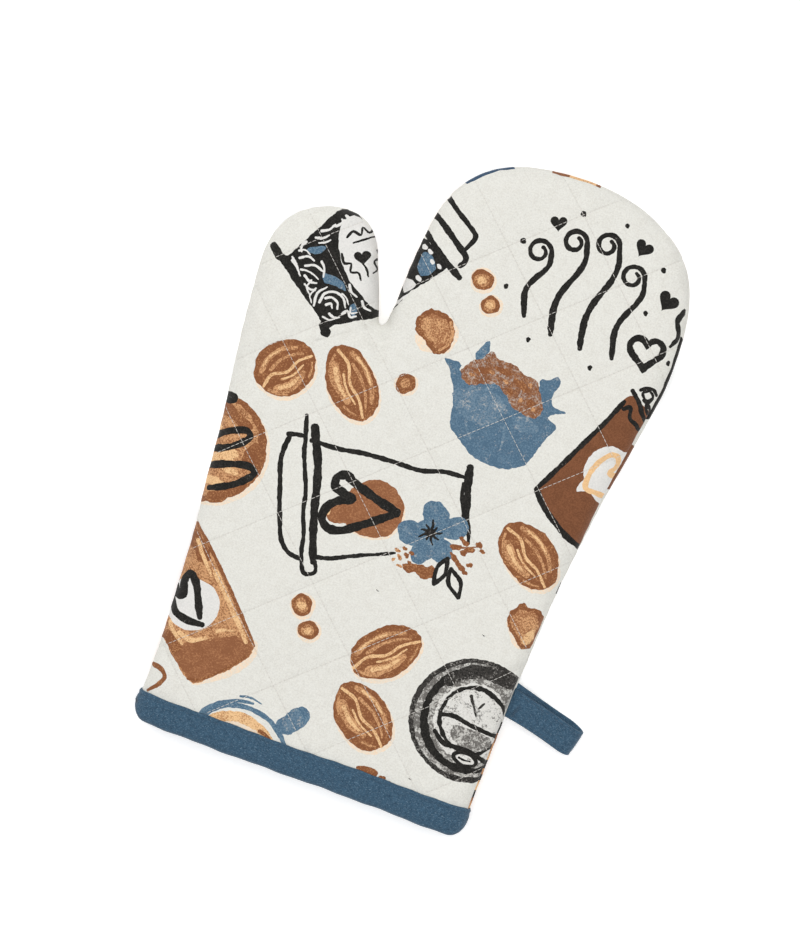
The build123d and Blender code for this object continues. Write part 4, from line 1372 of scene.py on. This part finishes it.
# joining seam: stitches down in the groove
L = np.concatenate([[0], np.cumsum(SEGL)])
s = np.arange(60, L[-1] - 60, 2.8)
s = s[:len(s)]
sx = np.column_stack([np.interp(s, L, LINE[:, 0]), np.interp(s, L, LINE[:, 1])])
gx = np.column_stack([np.interp(s, L, VN[:, 0]), np.interp(s, L, VN[:, 1])])
gx /= np.linalg.norm(gx, axis=1)[:, None]
sn = seam_inset(sx)
sp = sx + gx * (sn + 0.02)[:, None]
ps, ns, _, _, _ = surf(sp, "F", 0.75)
keep = (sx[:, 1] > 17)
mid_s = (ps[1:] + ps[:-1]) / 2
A_, B_, N_ = ps[:-1] * 0.86 + ps[1:] * 0.14, ps[:-1] * 0.14 + ps[1:] * 0.86, ns[:-1] + ns[1:]
C2 = mid_s[:, :2]
ok = keep[:-1] & keep[1:] & (np.linalg.norm(ps[1:] - ps[:-1], axis=1) < 3.4)
cs = (C2 - CROTCH) @ CUT_N
th = (cs > 0.3) & (C2[:, 0] < -43.9)
for part, sel, fn, nodes in (("palm", ok & ~th, bend_main, ("palm", "fingers")), ("thumb", ok & th, bend_thumb, ("thumb",))):
    ob = capsules(f"seam_thread_{part}", A_[sel], B_[sel], N_[sel], 0.22, MAT["seam"])
    fn(ob)
    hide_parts(*[f"seam_stitching_{n}" for n in nodes])


# ---- bound mouth -------------------------------------------------------------------------------------------
def mouth_ring():
    """(side, distance from the nearer end, which end) round the mouth, front then back."""
    near = [0.0, 0.1, 0.3, 0.6, 1.0, 1.6, 2.4, 3.4, 4.6, 6.2, 8.2, 10.8, 13.6]
    n_mid = 74
    out = []
    half = [("L", d) for d in near] + [("M", f) for f in np.linspace(0, 1, n_mid)] + [("R", d) for d in reversed(near)]
    for k, (w, d) in enumerate(half):
        out.append(("F", w, d))
    for k, (w, d) in enumerate(reversed(half[1:-1])):
        out.append(("B", w, d))
    return out


RING = mouth_ring()
NR = len(RING)
_left = LINE[:60]
_right = LINE[-70:][::-1]


def ring_x(w, d, y):
    xl = np.interp(y, _left[:, 1], _left[:, 0])
    xr = np.interp(y, _right[:, 1], _right[:, 0])
    if w == "L":
        return xl + d
    if w == "R":
        return xr - d
    return xl + 16 + d * (xr - xl - 32)


def tape_section(k):
    """Section of the folded tape at one place round the mouth, as (y, depth under the cloth's skin) in order."""
    sd, w, d = RING[k]
    x = float(ring_x(w, d, 8.0))
    xx = min(max(x, XL + 0.02), XR - 0.02)
    ye, yt = float(edge_y(xx)), float(hem_y(x))
    yt += 0.12 * math.sin(k * 0.9)
    g = 0.07 * math.sin(k * 0.55 + 1.2 * math.sin(k * 0.13))
    outer = [(yt - 0.1, 0.25), (yt + 0.02, -0.25), (yt - 0.18, -0.72 - g), (yt - 0.8, -0.98 - g), (yt - 1.5, -0.94), (yt - 2.1, -0.66), (yt - 2.7, -0.92),
             (yt - 3.8, -1.12 - g), (yt - 5.6, -1.16 - 1.4 * g), ((yt + ye) / 2 + 0.2, -1.14 - g), (ye + 3.6, -1.06), (ye + 2.2, -0.82), (ye + 1.15, -0.28), (ye + 0.45, 0.6), (ye + 0.1, 1.7),
             (ye, 2.9), (ye + 0.1, 4.1), (ye + 0.45, 5.2), (ye + 1.15, 6.0), (ye + 2.4, 6.45), (ye + 4.2, 6.6), (ye + 6.0, 6.6), (12.9, 6.55), (13.5, 6.4), (13.62, 6.0)]
    inner = [(13.2, 5.5), (12.4, 5.48), (ye + 6.0, 5.5), (ye + 3.4, 5.4), (ye + 2.0, 5.0), (ye + 1.35, 4.2), (ye + 1.15, 2.9), (ye + 1.35, 1.6), (ye + 2.0, 0.6), (ye + 3.4, -0.02), (ye + 6.0, -0.12),
             (yt - 4.0, -0.12), (yt - 2.1, -0.08), (yt - 0.9, 0.05)]
    return outer + inner


secs = [tape_section(k) for k in range(NR)]
NSEC = len(secs[0])
BV = np.zeros((NR, NSEC, 3))
for sd in ("F", "B"):
    ks = [k for k in range(NR) if RING[k][0] == sd]
    for j in range(NSEC):
        ys = np.array([secs[k][j][0] for k in ks])
        ts = np.array([secs[k][j][1] for k in ks])
        xs = np.array([float(ring_x(RING[k][1], RING[k][2], y)) for k, y in zip(ks, ys)])
        P = np.column_stack([xs, ys])
        p0, n0, _, D0, _ = surf(P, sd, 0.0, seam=False, rel=0.0)
        edge = np.array([RING[k][1] != "M" and RING[k][2] < 1e-6 for k in ks])
        nn = n0.copy()
        pp = p0.copy()
        # at the side fold itself the skin is vertical and its middle height is used
        nn[edge, 2] = 0
        nn[edge] /= np.linalg.norm(nn[edge], axis=1)[:, None]
        pp[edge, 2] = (thick(ys) / 2 + 0.05 + 1.25 * (1 - smooth(14, 46, ys)))[edge]
        q = pp - ts[:, None] * nn
        q[:, 2] = np.maximum(q[:, 2], 0.02 + np.where(ts > 0, np.minimum(ts, 1.0) * 0.6, 0))
        BV[ks, j] = q
bf, buv = [], []
per_y = np.cumsum([0] + [math.dist(secs[40][j], secs[40][j + 1]) for j in range(NSEC - 1)] + [math.dist(secs[40][-1], secs[40][0])])
mid_line = BV[:, 8]
along = np.concatenate([[0], np.cumsum(np.linalg.norm(np.diff(np.vstack([mid_line, mid_line[:1]]), axis=0), axis=1))])
for k in range(NR):
    k2 = (k + 1) % NR
    for j in range(NSEC):
        j2 = (j + 1) % NSEC
        bf.append((k * NSEC + j, k * NSEC + j2, k2 * NSEC + j2, k2 * NSEC + j))
        u0, u1, v0, v1 = along[k], along[k + 1], per_y[j], per_y[j + 1]
        buv += [(u0, v0), (u0, v1), (u1, v1), (u1, v0)]
bind = mesh_object("mouth_binding", BV.reshape(-1, 3), bf, {"cloth": np.array(buv)})
bind.data.materials.append(MAT["tape"])
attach(bind, "palm")
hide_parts("cuff_binding")

# topstitching round the mouth, in the dent 2 mm under the tape's upper edge
row = BV[:, 5]
nrm = row - BV[:, 31 if NSEC > 31 else -3]
rl = np.vstack([row, row[:1]])
nl = np.vstack([nrm, nrm[:1]])
tt = np.concatenate([[0], np.cumsum(np.linalg.norm(np.diff(rl, axis=0), axis=1))])
c = np.arange(1.5, tt[-1] - 1.0, 2.7)


def on(l, s):
    return np.column_stack([np.interp(s, tt, l[:, i]) for i in range(3)])


nn = on(nl, c)
nn /= np.linalg.norm(nn, axis=1)[:, None]
top = capsules("mouth_topstitch", on(rl, c - 0.95), on(rl, c + 0.95), nn, 0.2, MAT["blue_thread"], 0.1)
co = np.array([v.co for v in top.data.vertices])
co[:, 2] = np.maximum(co[:, 2], 0.00001)
top.data.vertices.foreach_set("co", co.astype(np.float32).ravel())
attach(top, "palm")
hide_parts("binding_topstitch")

# ---- hanging loop ------------------------------------------------------------------------------------------
LA = math.radians(-14)
LU = np.array([math.cos(LA), math.sin(LA), 0.0])
LV = np.array([-math.sin(LA), math.cos(LA), 0.0])
path = crom([(-0.9, 11.5), (1.0, 11.9), (5, 12.1), (12, 11.5), (20, 10.3), (26, 9.6), (30.0, 8.95), (33.2, 7.2), (34.3, 4.7), (33.2, 2.3), (30.0, 0.85), (25, 0.72), (18, 1.2), (11, 3.6),
             (5, 7.6), (1.0, 9.7), (-0.9, 10.2)], 0.9)
SL = np.concatenate([[0], np.cumsum(np.linalg.norm(np.diff(path, axis=0), axis=1))])
tg = np.gradient(path, axis=0)
tg /= np.linalg.norm(tg, axis=1)[:, None]
root = np.array([70.0, 65.6, 0.0])
half = SL[-1] / 2
sec = [(-6.1, -0.35), (-6.25, 0.0), (-6.1, 0.38), (-5.6, 0.56), (-4.7, 0.42), (-3.8, 0.58), (-1.5, 0.62), (0.0, 0.63), (1.5, 0.62), (3.8, 0.58), (4.7, 0.42), (5.6, 0.56), (6.1, 0.38), (6.25, 0.0), (6.1, -0.35),
       (5.2, -0.5), (2.5, -0.52), (0, -0.52), (-2.5, -0.52), (-5.2, -0.5)]
lv, lf, luv = [], [], []
for i in range(len(path)):
    c3 = root + LU * path[i, 0] + np.array([0, 0, path[i, 1]])
    shift = 2.7 * smooth(half - 9, half + 9, np.array(SL[i])) + 0.5 * math.sin(SL[i] * 0.09)
    N3 = LU * (-tg[i, 1]) + np.array([0, 0, tg[i, 0]])
    belly = 0.18 * math.sin(SL[i] * 0.35)
    wid = 1.0 + 0.05 * math.exp(-SL[i] / 6)
    tilt = 0.10 * math.exp(-((SL[i] - 8) / 12) ** 2)
    for v, n in sec:
        ends = math.exp(-(SL[i] / 5.0)) + math.exp(-((SL[-1] - SL[i]) / 5.0))
        q = c3 - LU * (0.25 * (v + shift) * ends) + LV * (v * wid + shift) + N3 * (n * 1.0 + belly * (1 - (v / 6.3) ** 2) + tilt * v)
        q[2] = max(q[2], 0.03)
        lv.append(q)
m = len(sec)
pv = np.cumsum([0] + [math.dist(sec[j], sec[(j + 1) % m]) for j in range(m)])
for i in range(len(path) - 1):
    for j in range(m):
        j2 = (j + 1) % m
        lf.append((i * m + j, (i + 1) * m + j, (i + 1) * m + j2, i * m + j2))
        luv += [(SL[i], pv[j]), (SL[i + 1], pv[j]), (SL[i + 1], pv[j + 1]), (SL[i], pv[j + 1])]
lf.append(tuple(range(m)))
luv += [(0, pv[j]) for j in range(m)]
o = (len(path) - 1) * m
lf.append(tuple(o + j for j in reversed(range(m))))
luv += [(SL[-1], pv[j]) for j in reversed(range(m))]
loop = mesh_object("loop_tape", np.array(lv), lf, {"cloth": np.array(luv)})
loop.data.materials.append(MAT["tape"])
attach(loop, "loop")
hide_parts("hanging_loop")

# edge stitching on the loop and the bar tack at its root
LVT = np.array(lv).reshape(len(path), m, 3)
A_, B_, N_ = [], [], []
for j in (4, 10):
    ln = LVT[:, j]
    tl = np.concatenate([[0], np.cumsum(np.linalg.norm(np.diff(ln, axis=0), axis=1))])
    cs_ = np.arange(5.0, tl[-1] - 4.5, 2.6)
    up = LVT[:, 7] - LVT[:, 17]
    for c_ in cs_:
        A_.append([np.interp(c_ - 0.9, tl, ln[:, i]) for i in range(3)])
        B_.append([np.interp(c_ + 0.9, tl, ln[:, i]) for i in range(3)])
        N_.append([np.interp(c_, tl, up[:, i]) for i in range(3)])
k0 = int(np.argmin(np.abs(SL - 4.4)))
up = LVT[k0, 7] - LVT[k0, 17]
for i in range(17):
    f0 = -4.8 + 9.6 * i / 17
    base = root + LU * path[k0, 0] + np.array([0, 0, path[k0, 1]]) + up / np.linalg.norm(up) * 0.72
    A_.append(base + LV * f0 - LU * 0.75)
    B_.append(base + LV * (f0 + 0.3) + LU * 0.75)
    N_.append(up)
A_, B_, N_ = np.array(A_), np.array(B_), np.array(N_)
low = np.minimum(A_[:, 2], B_[:, 2]) > 0.35
tack = capsules("loop_tack", A_[low], B_[low], N_[low], 0.17, MAT["blue_thread"], 0.06)
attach(tack, "loop")
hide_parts("loop_bar_tack")

# ---- area --------------------------------------------------------------------------------------------------
area = 0.0472

# ---- floor, light, camera ----------------------------------------------------------------------------------
fl = bpy.data.meshes.new("floor")
fl.from_pydata([(-18, -18, -0.0003), (18, -18, -0.0003), (18, 18, -0.0003), (-18, 18, -0.0003)], [], [(0, 1, 2, 3)])
floor = bpy.data.objects.new("floor", fl)
bpy.context.scene.collection.objects.link(floor)
fm = bpy.data.materials.new("floor")
fm.use_nodes = True
fb = fm.node_tree.nodes["Principled BSDF"]
fb.inputs["Base Color"].default_value = (0.93, 0.93, 0.93, 1)
fb.inputs["Roughness"].default_value = 0.95
fb.inputs["Specular IOR Level"].default_value = 0.0
fb.inputs["Emission Color"].default_value = (1, 1, 1, 1)
fb.inputs["Emission Strength"].default_value = 0.34
fl.materials.append(fm)

w = bpy.data.worlds.new("studio")
bpy.context.scene.world = w
w.use_nodes = True
w.node_tree.nodes["Background"].inputs[0].default_value = (1, 1, 1, 1)
w.node_tree.nodes["Background"].inputs[1].default_value = 0.38


def area_light(name, loc, target, size, power):
    l = bpy.data.lights.new(name, "AREA")
    l.shape = "RECTANGLE"
    l.size, l.size_y = size
    l.energy = power
    o = bpy.data.objects.new(name, l)
    bpy.context.scene.collection.objects.link(o)
    o.location = loc
    o.rotation_euler = (Vector(target) - Vector(loc)).to_track_quat("-Z", "Y").to_euler()
    return o


area_light("soft_key", (-0.85, 0.95, 1.15), (0, 0, 0), (1.2, 1.2), 8)
area_light("soft_fill", (0.9, -0.6, 1.3), (0, 0, 0), (1.4, 1.4), 3.5)
area_light("overhead", (0.0, 0.0, 1.5), (0, 0, 0), (0.9, 0.9), 9.6)
bpy.context.scene.view_settings.view_transform = "Standard"
bpy.context.scene.view_settings.look = "None"
bpy.context.scene.view_settings.exposure = 0.0
bpy.context.scene.view_settings.gamma = 1.0

cd = bpy.data.cameras.new("camera")
cd.sensor_fit = "HORIZONTAL"
cd.sensor_width = 36.0
cd.lens = 100.0
cd.clip_start, cd.clip_end = 0.05, 20
cam = bpy.data.objects.new("camera", cd)
bpy.context.scene.collection.objects.link(cam)
up = Vector((-0.3502, 0.9367, 0)).normalized()
right = Vector((0.9367, 0.3502, 0)).normalized()
R = Matrix((right, up, Vector((0, 0, 1)))).transposed().to_4x4()
cam.matrix_world = Matrix.Translation((-0.0139, -0.00095, 0.9911 + 0.014)) @ R
bpy.context.scene.camera = cam
